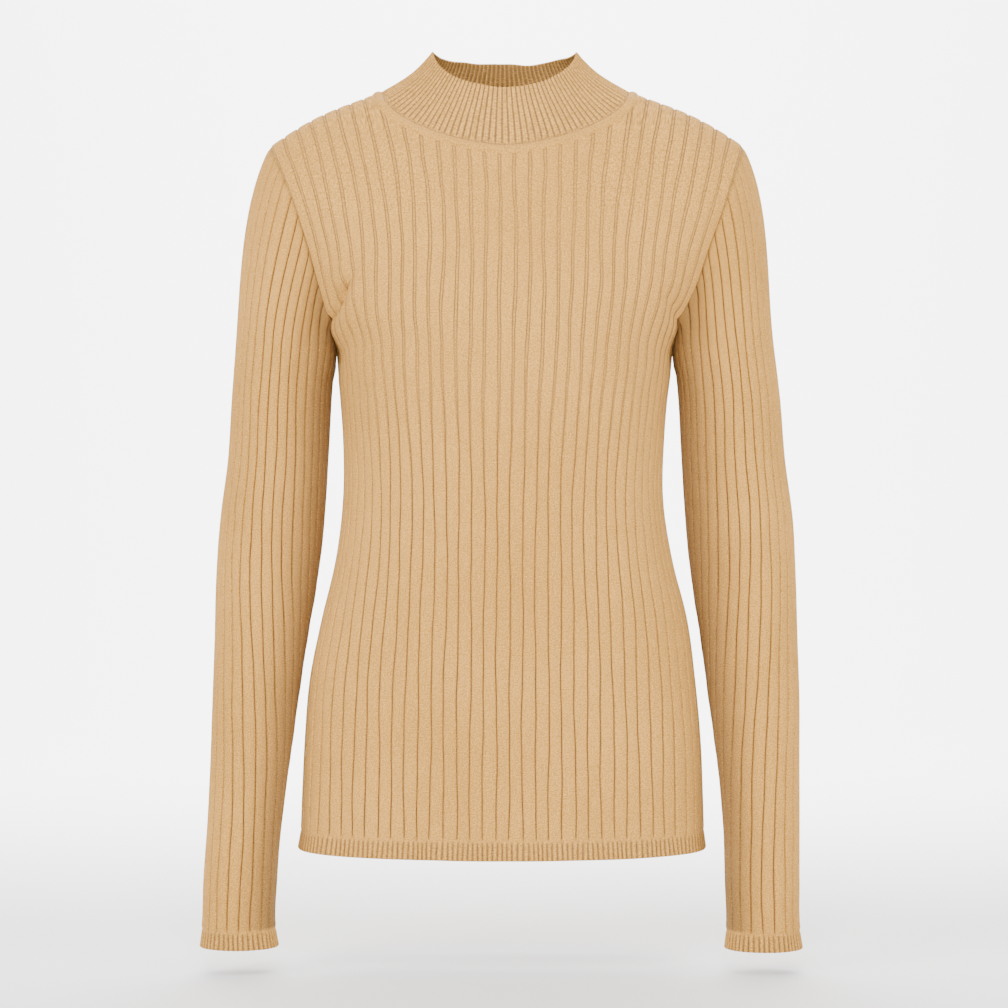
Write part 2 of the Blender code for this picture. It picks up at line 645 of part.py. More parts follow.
def top_corners(side):
    """The top seam of a panel as corners at its grooves: places, points, outward
    directions, and the directions that lead out of the panel."""
    grooves = np.arange(-ARMHOLE_RIBS, ARMHOLE_RIBS + 0.1, 1.0)
    place = ARMHOLE_ROWS[-1][0]
    neck_ends = np.array([7.1, 7.36, LAST_NECK_CORNER, NECK_RIBS])
    grooves = np.sort(np.concatenate([-neck_ends, grooves, neck_ends]))
    points = panel(side, grooves, place)
    normals = panel_normals(side, grooves, place)
    slope = {}
    for hand in (-1, 1):
        run = np.array(SHOULDER_TIP[hand]) - np.array([hand * NECK_HALF, *NECK_SIDE])
        slope[hand] = unit([-run[2] * hand, 0.0, run[0] * hand])
    for k, rib in enumerate(grooves):
        hand = -1 if rib < 0 else 1
        if abs(rib) >= NECK_RIBS - 1e-6:
            normals[k] = slope[hand] if abs(rib) < ARMHOLE_RIBS - 1e-6 else normals[k]
        if abs(abs(rib) - LAST_NECK_CORNER) < 1e-6:
            normals[k] = unit(normals[k] + slope[hand])
        if abs(abs(rib) - ARMHOLE_RIBS) < 1e-6:
            counts, _, faces, _ = ARMHOLES[hand]
            normals[k] = along(counts, faces, [0.0])[0]
    seam = np.gradient(points, axis=0)
    leads = unit(np.cross(normals, seam)) if side == "front" else unit(np.cross(seam, normals))
    towards = 1.0 if side == "front" else -1.0
    leads *= np.sign(np.sum(leads * yoke_end(side, grooves)[1], axis=-1, keepdims=True))
    for k, rib in enumerate(grooves):
        if abs(rib) >= NECK_RIBS - 1e-6:
            leads[k] = (0.0, towards, 0.0)
        if abs(abs(rib) - ARMHOLE_RIBS) < 1e-6:
            hand = -1 if rib < 0 else 1
            counts, _, _, armhole_leads = ARMHOLES[hand]
            leads[k] = leads[k] + along(counts, armhole_leads, [0.0])[0]
        if abs(abs(rib) - NECK_RIBS) < 1e-6:
            hand = -1 if rib < 0 else 1
            leads[k] = leads[k] + np.array([-hand * 0.9, 0.0, 0.43])
    return grooves, points, normals, leads


TOPS = {side: top_corners(side) for side in ("front", "back")}


def sleeve_columns(count):
    """Places round a sleeve out to the underarm seam: three to each groove."""
    places = []
    for groove in range(-16, 17):
        if abs(groove) < count - 0.35:
            places += [groove - GROOVE_SIDE, groove, groove + GROOVE_SIDE]
    return np.array([-count, -count + GROOVE_SIDE] + places + [count - GROOVE_SIDE, count])


def make_sleeve(hand, name, material):
    """One sleeve: a tube from the armhole seam to the cuff, joined under the arm."""
    wall = Wall()
    half_gap = SEAM_GAP / 2
    counts, corners, faces, leads = ARMHOLES[hand]
    floor = SLEEVE[hand][-1][0]
    outer = []
    inner = []

    def closed(places, points):
        """Adds a row that closes on itself at the underarm seam."""
        row = wall.row(places[:-1], points[:-1])
        return row + [(float(places[-1]), row[0][1])]

    def thickness(places, count):
        """The wall round a sleeve, less at each groove and at the seam."""
        off = np.abs(places - np.round(places))
        groove = (off < 1e-6) | (np.abs(np.abs(places) - count) < 1e-6)
        return np.where(groove, GROOVE_WALL, WALL)

    places = sleeve_columns(16.0)
    start = along(counts, corners + leads * half_gap, places)
    face = along(counts, faces, places)
    thick = thickness(places, 16.0)[:, None]
    outer.append(closed(places, start + face * thick))
    inner.append(closed(counts, along(counts, corners + leads * half_gap, counts)))
    for place in CAP_ROWS + ARM_ROWS + (floor + CUFF_HEIGHT + 1.5,):
        count = 16.0 if place >= 0.0 else sleeve_count(hand, place)
        places = sleeve_columns(count)
        base = sleeve(hand, places, place)
        normals = sleeve_normals(hand, places, place)
        outer.append(closed(places, base + normals * thickness(places, count)[:, None]))
        few = np.linspace(-count, count, 17)
        inner.append(closed(few, sleeve(hand, few, place)))
    count = sleeve_count(hand, floor)
    places, thick = fine_columns(count, CUFF_FINE_RIBS)
    for place in (floor + CUFF_HEIGHT, floor):
        base = ring(hand, places, place)
        normals = sleeve_normals(hand, places, place)
        outer.append(closed(places, base + normals * thick[:, None]))
    few = np.linspace(-count, count, 17)
    inner.append(closed(few, ring(hand, few, floor)))
    for rows in (outer, inner):
        for high, low in zip(rows, rows[1:]):
            wall.stitch(high, low)
    wall.stitch(outer[0], inner[0])
    wall.stitch(outer[-1], inner[-1])
    return wall.build(name, material)


def neck_seam():
    """The neck seam as corners round from the back's middle: shares of its length, points,
    outward directions and the directions that lead up into the collar."""
    rows = []
    for side, order in (("back", -1), ("front", 1), ("back", -1)):
        grooves, points, normals, leads = TOPS[side]
        keep = np.abs(grooves) <= NECK_RIBS + 1e-6
        picked = [list(x[keep]) for x in (grooves, points, normals, leads)]
        if order < 0:
            picked = [x[::-1] for x in picked]
        rows.append(picked)
    back, front, _ = rows
    middle = len(back[0]) // 2
    left = [x[middle:] for x in back]
    right = [x[:middle] for x in back]
    points = np.array(left[1][:-1] + front[1] + right[1][1:])
    normals = np.array(left[2][:-1] + front[2] + right[2][1:])
    leads = np.array(left[3][:-1] + front[3] + right[3][1:])
    points = np.vstack([points, points[:1]])
    normals = unit(np.vstack([normals, normals[:1]]))
    leads = np.vstack([leads, leads[:1]])
    for k, point in enumerate(points):
        if abs(point[1] - NECK_SIDE[0]) < 1e-6:
            leads[k] = (-np.sign(point[0]) * 0.9, 0.0, 0.43)
    steps = np.linalg.norm(np.diff(points, axis=0), axis=1)
    length = np.append(0.0, np.cumsum(steps))
    return length / length[-1], points, normals, leads


SEAM = neck_seam()


def rim(shares):
    """Inside points of the collar's rim, at shares of the way round from the back."""
    turn = np.linspace(0.0, 2 * math.pi, 721)
    cosine = np.cos(turn)
    across = RIM_MIDDLE - RIM_HALF * np.sin(turn)
    front = np.sqrt(np.clip(-cosine, 0.0, 1.0) ** 2 + 0.0036) - 0.06
    back = np.clip(cosine, 0.0, 1.0)
    deep = RIM_DEPTH["back"] * back + RIM_DEPTH["front"] * front
    high = (RIM_HEIGHT["side"] + (RIM_HEIGHT["back"] - RIM_HEIGHT["side"]) * back
            + (RIM_HEIGHT["front"] - RIM_HEIGHT["side"]) * front)
    points = np.stack([across, deep, high], axis=-1)
    steps = np.linalg.norm(np.diff(points, axis=0), axis=1)
    length = np.append(0.0, np.cumsum(steps))
    return along(length / length[-1], points, np.asarray(shares) % 1.0)


def rise(angles, shares):
    """Directions in which the collar rises, leaning in towards the middle of the neck."""
    turn = 2 * math.pi * np.asarray(shares, float)
    front = np.clip(-np.cos(turn), 0.0, 1.0) ** 2
    back = np.clip(np.cos(turn), 0.0, 1.0) ** 2
    angle = np.radians(angles["side"] * (1 - front - back) + angles["front"] * front
                       + angles["back"] * back)
    inward = np.stack([np.sin(turn), -np.cos(turn)], axis=-1)
    return np.stack([inward[:, 0] * np.cos(angle), inward[:, 1] * np.cos(angle),
                     np.sin(angle)], axis=-1)


def collar(shares, t):
    """Inside points of the collar, from its seam (0) to its rim (1)."""
    places, corners, _, _ = SEAM
    start = along(places, corners, np.asarray(shares) % 1.0)
    end = rim(shares)
    length = np.linalg.norm(end - start, axis=-1, keepdims=True)
    return blend(start, rise(BASE_RISE, shares) * length, end, rise(RIM_RISE, shares) * length,
                 t)


def collar_normals(shares, t):
    """Outward directions of the collar along one row."""
    step = 0.002
    across = collar(shares + step, t) - collar(shares - step, t)
    up = collar(shares, min(t + 0.02, 1.0)) - collar(shares, max(t - 0.02, 0.0))
    turned = np.cross(across, up)
    here = collar(shares, t)
    away = here - here.mean(axis=0)
    if np.sum(turned * away) < 0:
        turned = -turned
    return unit(turned)


def make_collar(material):
    """The collar: a plain band along the neck seam, and fine ribs up to an open rim."""
    wall = Wall()
    half_gap = SEAM_GAP / 2
    places, corners, faces, leads = SEAM
    outer = []
    inner = []

    def closed(shares, points):
        """Adds a row that closes on itself at the middle of the back."""
        row = wall.row(shares[:-1], points[:-1])
        return row + [(float(shares[-1]), row[0][1])]

    start = corners + leads * half_gap
    inner.append(closed(places, start))
    outer.append(closed(places, start + faces * BAND_WALL[0]))
    for t, thick in zip(BAND_ROWS[1:], BAND_WALL[1:]):
        outer.append(closed(places, collar(places, t) + collar_normals(places, t) * thick))
    fine = np.linspace(0.0, 1.0, 2 * COLLAR_FINE_RIBS + 1)
    thick = np.where(np.arange(len(fine)) % 2 == 0, FINE_GROOVE_WALL, FINE_WALL)[:, None]
    for t in COLLAR_ROWS:
        outer.append(closed(fine, collar(fine, t) + collar_normals(fine, t) * thick))
    few = np.linspace(0.0, 1.0, 37)
    for t in COLLAR_ROWS:
        inner.append(closed(few, collar(few, t)))
    for rows in (outer, inner):
        for low, high in zip(rows, rows[1:]):
            wall.stitch(low, high)
    wall.stitch(outer[0], inner[0])
    wall.stitch(outer[-1], inner[-1])
    return wall.build("collar", material)


def cloth(name, colour):
    """A plain matt cloth material."""
    material = bpy.data.materials.new(name)
    material.use_nodes = True
    shader = material.node_tree.nodes["Principled BSDF"]
    shader.inputs["Base Color"].default_value = (*colour, 1.0)
    shader.inputs["Roughness"].default_value = 0.85
    shader.inputs["Metallic"].default_value = 0.0
    return material


for old in list(bpy.data.objects):
    bpy.data.objects.remove(old)
garment = bpy.data.collections.new("mock neck sweater")
bpy.context.scene.collection.children.link(garment)

make_panel("front", cloth("front knit", (0.672, 0.458, 0.258)))
make_panel("back", cloth("back knit", (0.655, 0.445, 0.250)))
make_sleeve(1, "sleeve_left", cloth("left sleeve knit", (0.664, 0.452, 0.254)))
make_sleeve(-1, "sleeve_right", cloth("right sleeve knit", (0.664, 0.452, 0.254)))
make_collar(cloth("collar knit", (0.680, 0.465, 0.264)))
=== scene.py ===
"""Mock neck sweater in a tan knit of wide flat ribs, filled out with no wearer.

The garment is four knitted pieces sewn together, with a fine-ribbed collar linked on. Each is a
thin shell of cloth on the form of its own solid. Sizes are in millimetres, meshes in metres.
The front faces -Y, +Z is up, and the origin is the middle of the neck at shoulder height.
"""
import functools
import math

import bmesh
import bpy
import numpy as np
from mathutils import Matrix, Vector


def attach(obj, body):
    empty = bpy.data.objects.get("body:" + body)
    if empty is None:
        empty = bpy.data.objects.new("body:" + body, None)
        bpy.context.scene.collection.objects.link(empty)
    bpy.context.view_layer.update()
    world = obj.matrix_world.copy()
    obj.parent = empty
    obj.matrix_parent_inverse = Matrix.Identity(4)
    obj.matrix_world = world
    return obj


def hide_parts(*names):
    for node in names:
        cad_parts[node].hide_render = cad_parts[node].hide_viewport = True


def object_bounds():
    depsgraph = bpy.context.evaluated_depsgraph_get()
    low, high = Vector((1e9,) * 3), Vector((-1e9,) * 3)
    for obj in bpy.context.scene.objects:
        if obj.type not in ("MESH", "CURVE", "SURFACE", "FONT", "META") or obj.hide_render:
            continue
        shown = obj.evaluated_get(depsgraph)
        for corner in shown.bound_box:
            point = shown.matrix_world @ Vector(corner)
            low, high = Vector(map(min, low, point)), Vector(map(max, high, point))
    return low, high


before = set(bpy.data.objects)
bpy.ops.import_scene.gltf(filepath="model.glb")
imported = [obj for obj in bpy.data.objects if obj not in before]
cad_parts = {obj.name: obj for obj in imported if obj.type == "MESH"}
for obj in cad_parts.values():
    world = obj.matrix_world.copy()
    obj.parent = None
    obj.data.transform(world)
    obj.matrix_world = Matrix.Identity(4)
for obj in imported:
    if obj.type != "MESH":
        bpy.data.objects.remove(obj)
cad_low, cad_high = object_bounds()

# --- Front -----------------------------------------------------------------------------------
# The front panel, flat-knitted in a fine matt yarn: 37 wide ribs at the hem, of which three on each
# side are bound off at the underarm, with a fine rib knitted on as the hem. It is sewn to the back
# at the sides and shoulders, and creased a little below each armhole.

# The knit. A rib is eight stitches across, with one sunk stitch between two ribs. Every piece is a
# shell of this cloth, and its UV map counts wales and courses.
MILLIMETRE = 0.001
CLOTH = 1.5             # thickness of the knit
STITCH_DEPTH = 0.00035  # depth of a stitch, in metres
WALL = 2.2              # how far the top of a rib stands out from the form
GROOVE_WALL = 0.8       # the same at the bottom of the groove between two ribs
CROWN = 0.25            # the middle of a rib stands out by this much more
GROOVE_SIDE = 0.10      # half the width of a groove, as a share of a rib
RIB_STEPS = (0.0, 0.045, 0.10, 0.2, 0.5, 0.8, 0.9, 0.955)       # columns across one rib
WALES_PER_RIB = 8
COURSE = 1.15           # height of a row of stitches
FINE_WALL = 1.75        # middle of the fine one-by-one rib
FINE_WAVE = 0.45        # its ribs stand out, and its grooves lie in, by this
FINE_STEPS = 8          # columns across one fine rib
RIDGE = 0.6             # the sunk stitch stands this high in the middle of an open groove
RIDGE_SIDE = 0.05       # half the width of that ridge, as a share of a rib
BAND_EDGE = 2.5         # the wide ribs fade into a fine-ribbed band over this height
GAP = 0.2               # half the width of the gap between two fine ribs, as a share of a rib
ROLLED_IN = 0.5         # the last row of a band is rolled in by this
SEWN = 0.02             # rows of stitches that meet within this are one
SMOOTH = 62             # faces that meet at less than this many degrees look smooth
SLOPE_RIBS = 0.05       # the slope of the cloth is taken over this many ribs to each side
SLOPE_HEIGHT = 1.5      # and over this height up and down
# How far the lines of stitches wander, in ribs, and the rates at which that changes upwards
# and across.
WANDER = ((0.045, 0.043, 1.3), (0.035, 0.021, -2.1), (0.02, 0.11, 2.9))
# A crease seen from the front: its ends, half its width, its height, and how far it draws in
# the cloth beside it.
FOLD_COLUMNS = ("x1", "z1", "x2", "z2", "width", "height", "pull")


def unit(vectors):
    """Vectors made one long, a row each."""
    vectors = np.asarray(vectors, float)
    return vectors / np.linalg.norm(vectors, axis=-1, keepdims=True)


def within(t):
    """A share kept between 0 and 1."""
    return np.clip(t, 0.0, 1.0)


def smoothstep(t):
    """An even change from 0 to 1."""
    t = within(t)
    return t * t * (3 - 2 * t)


def rib_wall(away, opened):
    """How far the cloth stands out at a distance from a groove's middle, in ribs. Where the
    knit is stretched the groove is open, and its sunk stitch shows as a low ridge."""
    height = GROOVE_WALL + (WALL - GROOVE_WALL) * smoothstep(away / GROOVE_SIDE / 1.15)
    height = height + CROWN * np.sin(math.pi * np.clip(away, 0.0, 0.5))
    return height + RIDGE * opened * np.exp(-(away / RIDGE_SIDE) ** 2)


def fine_gap(phase, width):
    """1 in the narrow gap between two fine ribs, down to 0 on them, where phase counts ribs."""
    return np.exp(-((phase % 1.0 - 0.5) / width) ** 2)


def fine_wall(phase):
    """How far a fine one-by-one rib stands out, where phase counts its ribs."""
    return FINE_WALL + FINE_WAVE * (1 - 2 * fine_gap(phase, GAP))


def creased(points, normals, folds, free):
    """Points pushed in or out along soft troughs and ridges seen from the front, and drawn
    towards them. free is 0 at a seam, which the folds leave where it is."""
    push = np.zeros(len(points))
    drawn = np.zeros((len(points), 2))
    for fold in folds:
        row = dict(zip(FOLD_COLUMNS, fold))
        start = np.array([row["x1"], row["z1"]])
        way = np.array([row["x2"], row["z2"]]) - start
        seen = points[:, (0, 2)] - start
        t = within(seen @ way / (way @ way))
        gap = seen - t[:, None] * way
        near = np.exp(-(np.linalg.norm(gap, axis=1) / row["width"]) ** 2)
        push += row["height"] * near
        drawn -= row["pull"] / row["width"] * gap * near[:, None]
    moved = points + normals * (push * free)[:, None]
    moved[:, (0, 2)] += drawn * free[:, None]
    return moved


def wander(ribs, place):
    """How far the lines of stitches wander sideways at a height, in ribs."""
    return sum(far * np.sin(up * place + across * ribs) for far, up, across in WANDER)


def run_length(points):
    """Lengths along a line of points, from its first."""
    steps = np.linalg.norm(np.diff(points, axis=0), axis=1)
    return np.append(0.0, np.cumsum(steps))


def patch(rows, wale, course, groove, lines=0.0, keep=True):
    """Rows of points, with their wales, courses, shares of painted shade in the grooves and
    strength of the painted shade lines, and a mask of the faces to keep."""
    points = np.array(rows)
    shape = points.shape[:2]
    values = {"wale": wale, "course": course, "groove": groove, "lines": lines}
    made = {label: np.broadcast_to(value, shape) for label, value in values.items()}
    made.update(points=points, keep=np.broadcast_to(keep, (shape[0] - 1, shape[1] - 1)))
    return made


def fine_band(ribs, top, places, make_row):
    """The fine-ribbed band along a hem or cuff, from rows that make_row gives."""
    share = np.linspace(-1.0, 1.0, ribs * FINE_STEPS + 1)
    phase = np.arange(len(share)) / FINE_STEPS + 0.5
    rows, grooves = [], []
    for place in places:
        swell = smoothstep((top - place) / BAND_EDGE)
        rolled = ROLLED_IN if place == min(places) else 0.0
        wall = FINE_WALL + (fine_wall(phase) - FINE_WALL) * swell - rolled
        rows.append(make_row(share, place, wall))
        # Painted shade in the gaps between the fine ribs.
        grooves.append(fine_gap(phase, GAP) * swell)
    return patch(rows, share * ribs, (np.array(places)[:, None] - top) / COURSE, grooves)


def grid_corners(grid):
    """The four corners of every face of a grid."""
    return np.stack([grid[:-1, :-1], grid[:-1, 1:], grid[1:, 1:], grid[1:, :-1]], 2)


def cloth_shell(name, patches, outward, material):
    """A piece of knit made from patches. outward gives the way out at a place on it."""
    points, faces, maps, shades = [], [], [], {"groove": [], "lines": []}
    for part in patches:
        shape = part["wale"].shape
        index = len(points) + np.arange(shape[0] * shape[1]).reshape(shape)
        points.extend((part["points"].reshape(-1, 3) * MILLIMETRE).tolist())
        faces.extend(grid_corners(index)[part["keep"]].tolist())
        stitches = np.stack([part["wale"], part["course"]], -1)
        maps.append(grid_corners(stitches)[part["keep"]].reshape(-1, 2))
        for label, values in shades.items():
            values.extend(part[label].ravel().tolist())
    mesh = bpy.data.meshes.new(name)
    mesh.from_pydata(points, [], faces)
    mesh.materials.append(material)
    mesh.uv_layers.new(name="knit").data.foreach_set("uv", np.concatenate(maps).ravel())
    for label, values in shades.items():
        mesh.attributes.new(label, "FLOAT", "POINT").data.foreach_set("value", values)
    work = bmesh.new()
    work.from_mesh(mesh)
    bmesh.ops.remove_doubles(work, verts=work.verts, dist=SEWN * MILLIMETRE)
    loose = [v for v in work.verts if not v.link_faces]
    bmesh.ops.delete(work, geom=loose, context="VERTS")
    work.normal_update()
    facing = sum(f.normal.dot(outward(f.calc_center_median())) > 0 for f in work.faces)
    if facing < len(work.faces) / 2:
        bmesh.ops.reverse_faces(work, faces=work.faces)
    work.to_mesh(mesh)
    work.free()
    piece = bpy.data.objects.new(name, mesh)
    bpy.context.collection.objects.link(piece)
    bpy.ops.object.select_all(action="DESELECT")
    bpy.context.view_layer.objects.active = piece
    piece.select_set(True)
    thick = piece.modifiers.new("cloth", "SOLIDIFY")
    thick.thickness = CLOTH * MILLIMETRE
    thick.offset = -1.0
    bpy.ops.object.modifier_apply(modifier=thick.name)
    bpy.ops.object.shade_smooth_by_angle(angle=math.radians(SMOOTH))
    return piece


def feed(socket, value):
    """Join a socket to another, or set it to a plain value."""
    if isinstance(value, bpy.types.NodeSocket):
        socket.id_data.links.new(value, socket)
    else:
        socket.default_value = value


def new_node(tree, kind, inputs, **settings):
    """The outputs of a new shader node, whose inputs take sockets or plain values."""
    made = tree.nodes.new("ShaderNode" + kind)
    for label, value in settings.items():
        setattr(made, label, value)
    for label, value in inputs.items():
        feed(made.inputs[label], value)
    return made.outputs


def reckon(operation, *values):
    """The output of a maths node. One of its values at least is a socket."""
    tree = next(v.id_data for v in values if isinstance(v, bpy.types.NodeSocket))
    return new_node(tree, "Math", dict(enumerate(values)), operation=operation)[0]


plus, less, times, over, power, fraction, size, most, least = (
    functools.partial(reckon, operation) for operation in (
        "ADD", "SUBTRACT", "MULTIPLY", "DIVIDE", "POWER", "FRACT", "ABSOLUTE", "MAXIMUM",
        "MINIMUM"))


def clamped(value):
    """A value kept between 0 and 1."""
    return least(most(value, 0.0), 1.0)


def bell(value):
    """1 at a value of 0, and down to 0 on both sides of it."""
    return power(2.718, times(times(value, value), -1.0))


def mixed(share, first, second):
    """A colour between two colours. The numbers are those of the node's colour sockets."""
    return new_node(share.id_data, "Mix", {0: share, 6: first, 7: second}, data_type="RGBA")[2]


def noise(place, scale, detail=2.0, roughness=0.5):
    """The value of a noise texture."""
    inputs = {"Vector": place, "Scale": scale, "Detail": detail, "Roughness": roughness}
    return new_node(place.id_data, "TexNoise", inputs)["Fac"]


def new_group(name, inputs, outputs):
    """A shader node group, the inputs that it is given and the outputs that it has to make."""
    tree = bpy.data.node_groups.new(name, "ShaderNodeTree")
    for labels, way in ((inputs, "INPUT"), (outputs, "OUTPUT")):
        for label in labels:
            tree.interface.new_socket(label, in_out=way, socket_type="NodeSocketFloat")
    return (tree, tree.nodes.new("NodeGroupInput").outputs,
            tree.nodes.new("NodeGroupOutput").inputs)


def stitch_group():
    """Plain knit stitches: two slanting legs to each wale, one pair to each course."""
    tree, given, made = new_group("knit stitches", ("Wales", "Courses"), ("Height",))
    away = size(less(fraction(given["Wales"]), 0.5))
    phase = fraction(less(given["Courses"], times(away, 1.3)))
    round_leg = less(1.0, power(size(times(less(away, 0.25), 4.0)), 2.0))
    full = less(1.0, power(size(less(times(phase, 2.0), 1.0)), 3.0))
    share = plus(times(full, 0.55), 0.45)
    feed(made["Height"], times(power(round_leg, 0.7), share))
    return tree


def yarn_group():
    """The yarn's uneven colour: soft patches, streaks along the wales, and pale fibres."""
    tree, given, made = new_group("yarn", ("Wales", "Courses"), ("Tone", "Fleck", "Fuzz", "Patch"))
    place = new_node(tree, "TexCoord", {})["Object"]
    streaked, spotted = (
        new_node(tree, "CombineXYZ", {"X": times(given["Wales"], across),
                                      "Y": times(given["Courses"], along)})["Vector"]
        for across, along in ((0.9, 0.09), (1.0, 0.8)))
    patches = noise(place, 9.0, 3.0)
    heather = noise(place, 420.0, 3.0, 0.7)
    streaks = noise(streaked, 1.0)
    grain = noise(spotted, 1.2, 1.0, 0.6)
    fleck = noise(spotted, 1.7, 1.0)
    tone = plus(plus(times(patches, 0.35), times(heather, 0.35)), times(streaks, 0.3))
    tone = plus(plus(times(tone, 2.6), -0.8), times(less(grain, 0.5), 3.2))
    feed(made["Tone"], clamped(tone))
    feed(made["Patch"], patches)
    feed(made["Fleck"], clamped(times(less(fleck, 0.56), 6.0)))
    feed(made["Fuzz"], noise(place, 1500.0, 2.0, 0.8))
    return tree


def line_group():
    """Painted shade: a dark line down the middle of each groove, or a pair of them, one on each
    side of the sunk stitch, where it is open.
    """
    tree, given, made = new_group("rib lines", ("Wales", "Strength", "Width"), ("Line",))
    away = size(less(fraction(over(given["Wales"], WALES_PER_RIB)), 0.5))
    single = bell(over(away, given["Width"]))
    double = bell(over(less(away, 0.095), 0.036))
    opened = most(less(given["Strength"], 1.0), 0.0)
    line = plus(times(single, less(1.0, opened)), times(double, times(opened, 0.9)))
    feed(made["Line"], times(line, least(given["Strength"], 1.0)))
    return tree


STITCHES = stitch_group()
YARN = yarn_group()
RIB_LINES = line_group()


def knit(name, dark, light, sunk, line_width=0.042):
    """A matt knit material between two colours of one yarn, with painted shade: the sunk colour
    darkens its grooves, their lines and the hollows between its stitches.
    """
    material = bpy.data.materials.new(name)
    material.use_nodes = True
    tree = material.node_tree
    mapped = new_node(tree, "UVMap", {}, uv_map="knit")["UV"]
    place = new_node(tree, "SeparateXYZ", {"Vector": mapped})
    counts = {"Wales": place["X"], "Courses": place["Y"]}
    relief = new_node(tree, "Group", counts, node_tree=STITCHES)["Height"]
    yarn = new_node(tree, "Group", counts, node_tree=YARN)
    groove, strength = (new_node(tree, "Attribute", {}, attribute_name=label)["Fac"]
                        for label in ("groove", "lines"))
    ruled = {"Wales": place["X"], "Strength": strength, "Width": line_width}
    line = new_node(tree, "Group", ruled, node_tree=RIB_LINES)["Line"]
    pale = [min(1.0, c * 1.25) for c in light]
    dark, light, sunk, pale = ((*c, 1.0) for c in (dark, light, sunk, pale))
    colour = mixed(yarn["Tone"], dark, light)
    # Painted shade in the hollows between the legs of the stitches.
    colour = mixed(times(less(1.0, relief), 0.5), colour, sunk)
    # Painted shade in the grooves and along their dark lines, stronger in some patches than in
    # others.
    uneven = times(yarn["Patch"], 2.0)
    shade = most(groove, least(times(line, uneven), 1.0))
    colour = mixed(times(shade, 0.9), colour, sunk)
    colour = mixed(times(yarn["Fleck"], 0.35), colour, pale)
    height = plus(relief, times(yarn["Fuzz"], 0.5))
    bump = new_node(tree, "Bump", {"Strength": 0.7, "Distance": STITCH_DEPTH, "Height": height})
    shader = tree.nodes["Principled BSDF"].inputs
    feed(shader["Base Color"], colour)
    feed(shader["Normal"], bump["Normal"])
    shader["Roughness"].default_value = 0.92
    shader["Specular IOR Level"].default_value = 0.1
    shader["Sheen Weight"].default_value = 0.08
    shader["Sheen Roughness"].default_value = 0.4
    shader["Sheen Tint"].default_value = (1.0, 0.82, 0.6, 1.0)
    return material


# The body's form. Sections from hem to chest, and a yoke that turns over the shoulders, give the
# surface that front and back lie on. Ribs are counted across a panel, from its middle.
SIDE_RIBS = 18.5        # to the side seam, at the hem
ARMHOLE_RIBS = 15.5     # to the armhole seam, above the underarm
NECK_RIBS = 7.6         # to the point where neck and shoulder meet
# Torso sections from the hem to just below the underarm. Front and back are depths from the
# plane of the shoulders, square is the section's corner exponent, spread the extra width of
# the middle ribs.
TORSO_COLUMNS = ("z", "left", "right", "middle", "front", "front_square", "back",
                 "back_square", "spread")
TORSO = (
    (-618, -166.6, 164.2, -0.7, 63, 2.6, 87, 2.4, 0),
    (-604, -164.2, 162.4, -0.7, 63.5, 2.6, 88, 2.4, 0),
    (-580, -163, 161.4, -0.7, 64, 2.6, 90, 2.4, 0),
    (-530, -160.6, 159.3, -0.6, 65, 2.6, 91, 2.35, 0),
    (-481, -156.5, 154.8, -0.5, 67, 2.55, 88, 2.3, 0.01),
    (-432, -146.8, 148.3, -0.2, 71, 2.4, 82, 2.2, 0.03),
    (-383, -135.3, 136.1, 0, 77, 2.25, 76, 2.15, 0.06),
    (-334, -129.4, 128.7, 0.3, 82, 2.12, 72, 2.1, 0.09),
    (-284, -129.3, 129.5, 0.8, 85, 2.1, 75, 2.1, 0.12),
    (-252, -131.5, 132, 1.2, 88, 2.12, 81, 2.15, 0.13),
    (-227, -133.6, 135.2, 1.8, 90, 2.16, 86, 2.2, 0.13),
    (-205, -134.2, 136.2, 2.4, 90.5, 2.22, 90, 2.25, 0.13),
)
SEAM_DEPTH = 3.0        # the side seams lie this far behind the plane of the shoulders
HEM_DIP = 4.0           # the middle of the front hem hangs lower by this
HEM_DIP_REACH = 110.0   # which fades out over this height
CHEST_HALF = 160.0      # half the width of the chest, near enough to find a share of its section

# Chest sections above the underarm, out to the armhole seams.
CHEST_COLUMNS = ("z", "left", "right", "middle", "front", "front_edge", "front_square",
                 "back", "back_edge", "back_square", "spread")
CHEST = (
    (-187, -138.6, 139.6, 2.8, 90.5, -31, 2.3, 92, 36, 2.3, 0.12),
    (-162, -147.4, 153.4, 3.4, 89.5, -38, 2.35, 95, 46, 2.3, 0.1),
    (-132, -157.6, 166, 3.7, 86, -43, 2.45, 96, 52, 2.3, 0.05),
    (-104, -168.4, 178.6, 3.4, 81.5, -44, 2.6, 93, 50, 2.35, 0.02),
)
CHEST_TOP = -104.0      # the yoke runs on from here to the shoulder line and the neck
UNDERARM = -187.0       # where the armhole seam leaves the bound-off ribs
YOKE = 100.0            # the yoke is counted from 0 to this, from CHEST_TOP
LAST_YOKE_ROW = 0.84    # rows above this share of the yoke bend towards the neckline

# Shoulders and the neckline. The wearer's right side is -1, and the left is 1.
SHOULDER_TIP = {-1: (-189.6, 2.0, -45.5), 1: (194.4, 2.0, -45.0)}
SHOULDER_BOW = 4.5      # the shoulder line rises above a straight one by this
NECK_MIDDLE = 1.5
NECK_HALF = 106.0
NECK_SIDE = (2.0, -3.0)           # depth and height of the point where neck and shoulder meet
NECK_LOW = {"front": -57.0, "back": -14.0}      # height of the neckline in the middle
YOKE_OVER = {
    "front": {"depth": -42.0, "rise": 14.0, "turn": 50.0},
    "back": {"depth": 57.0, "rise": 3.0, "turn": 62.0},
}
UNDERARM_POINT = {-1: (-137.3, 4.0, -194.5), 1: (138.7, 4.0, -196.0)}
HEM = -618.0            # the edge of the hem at the side seams
HEM_BAND = -603.5       # top of the fine-ribbed hem
HEM_ROWS = (-618.4, -617.6, -615.0, -611.5, -608.0, -605.5, HEM_BAND)
HEM_FINE_RIBS = 98      # along each panel's hem
ROW_STEP = 5.4          # height of one row of faces
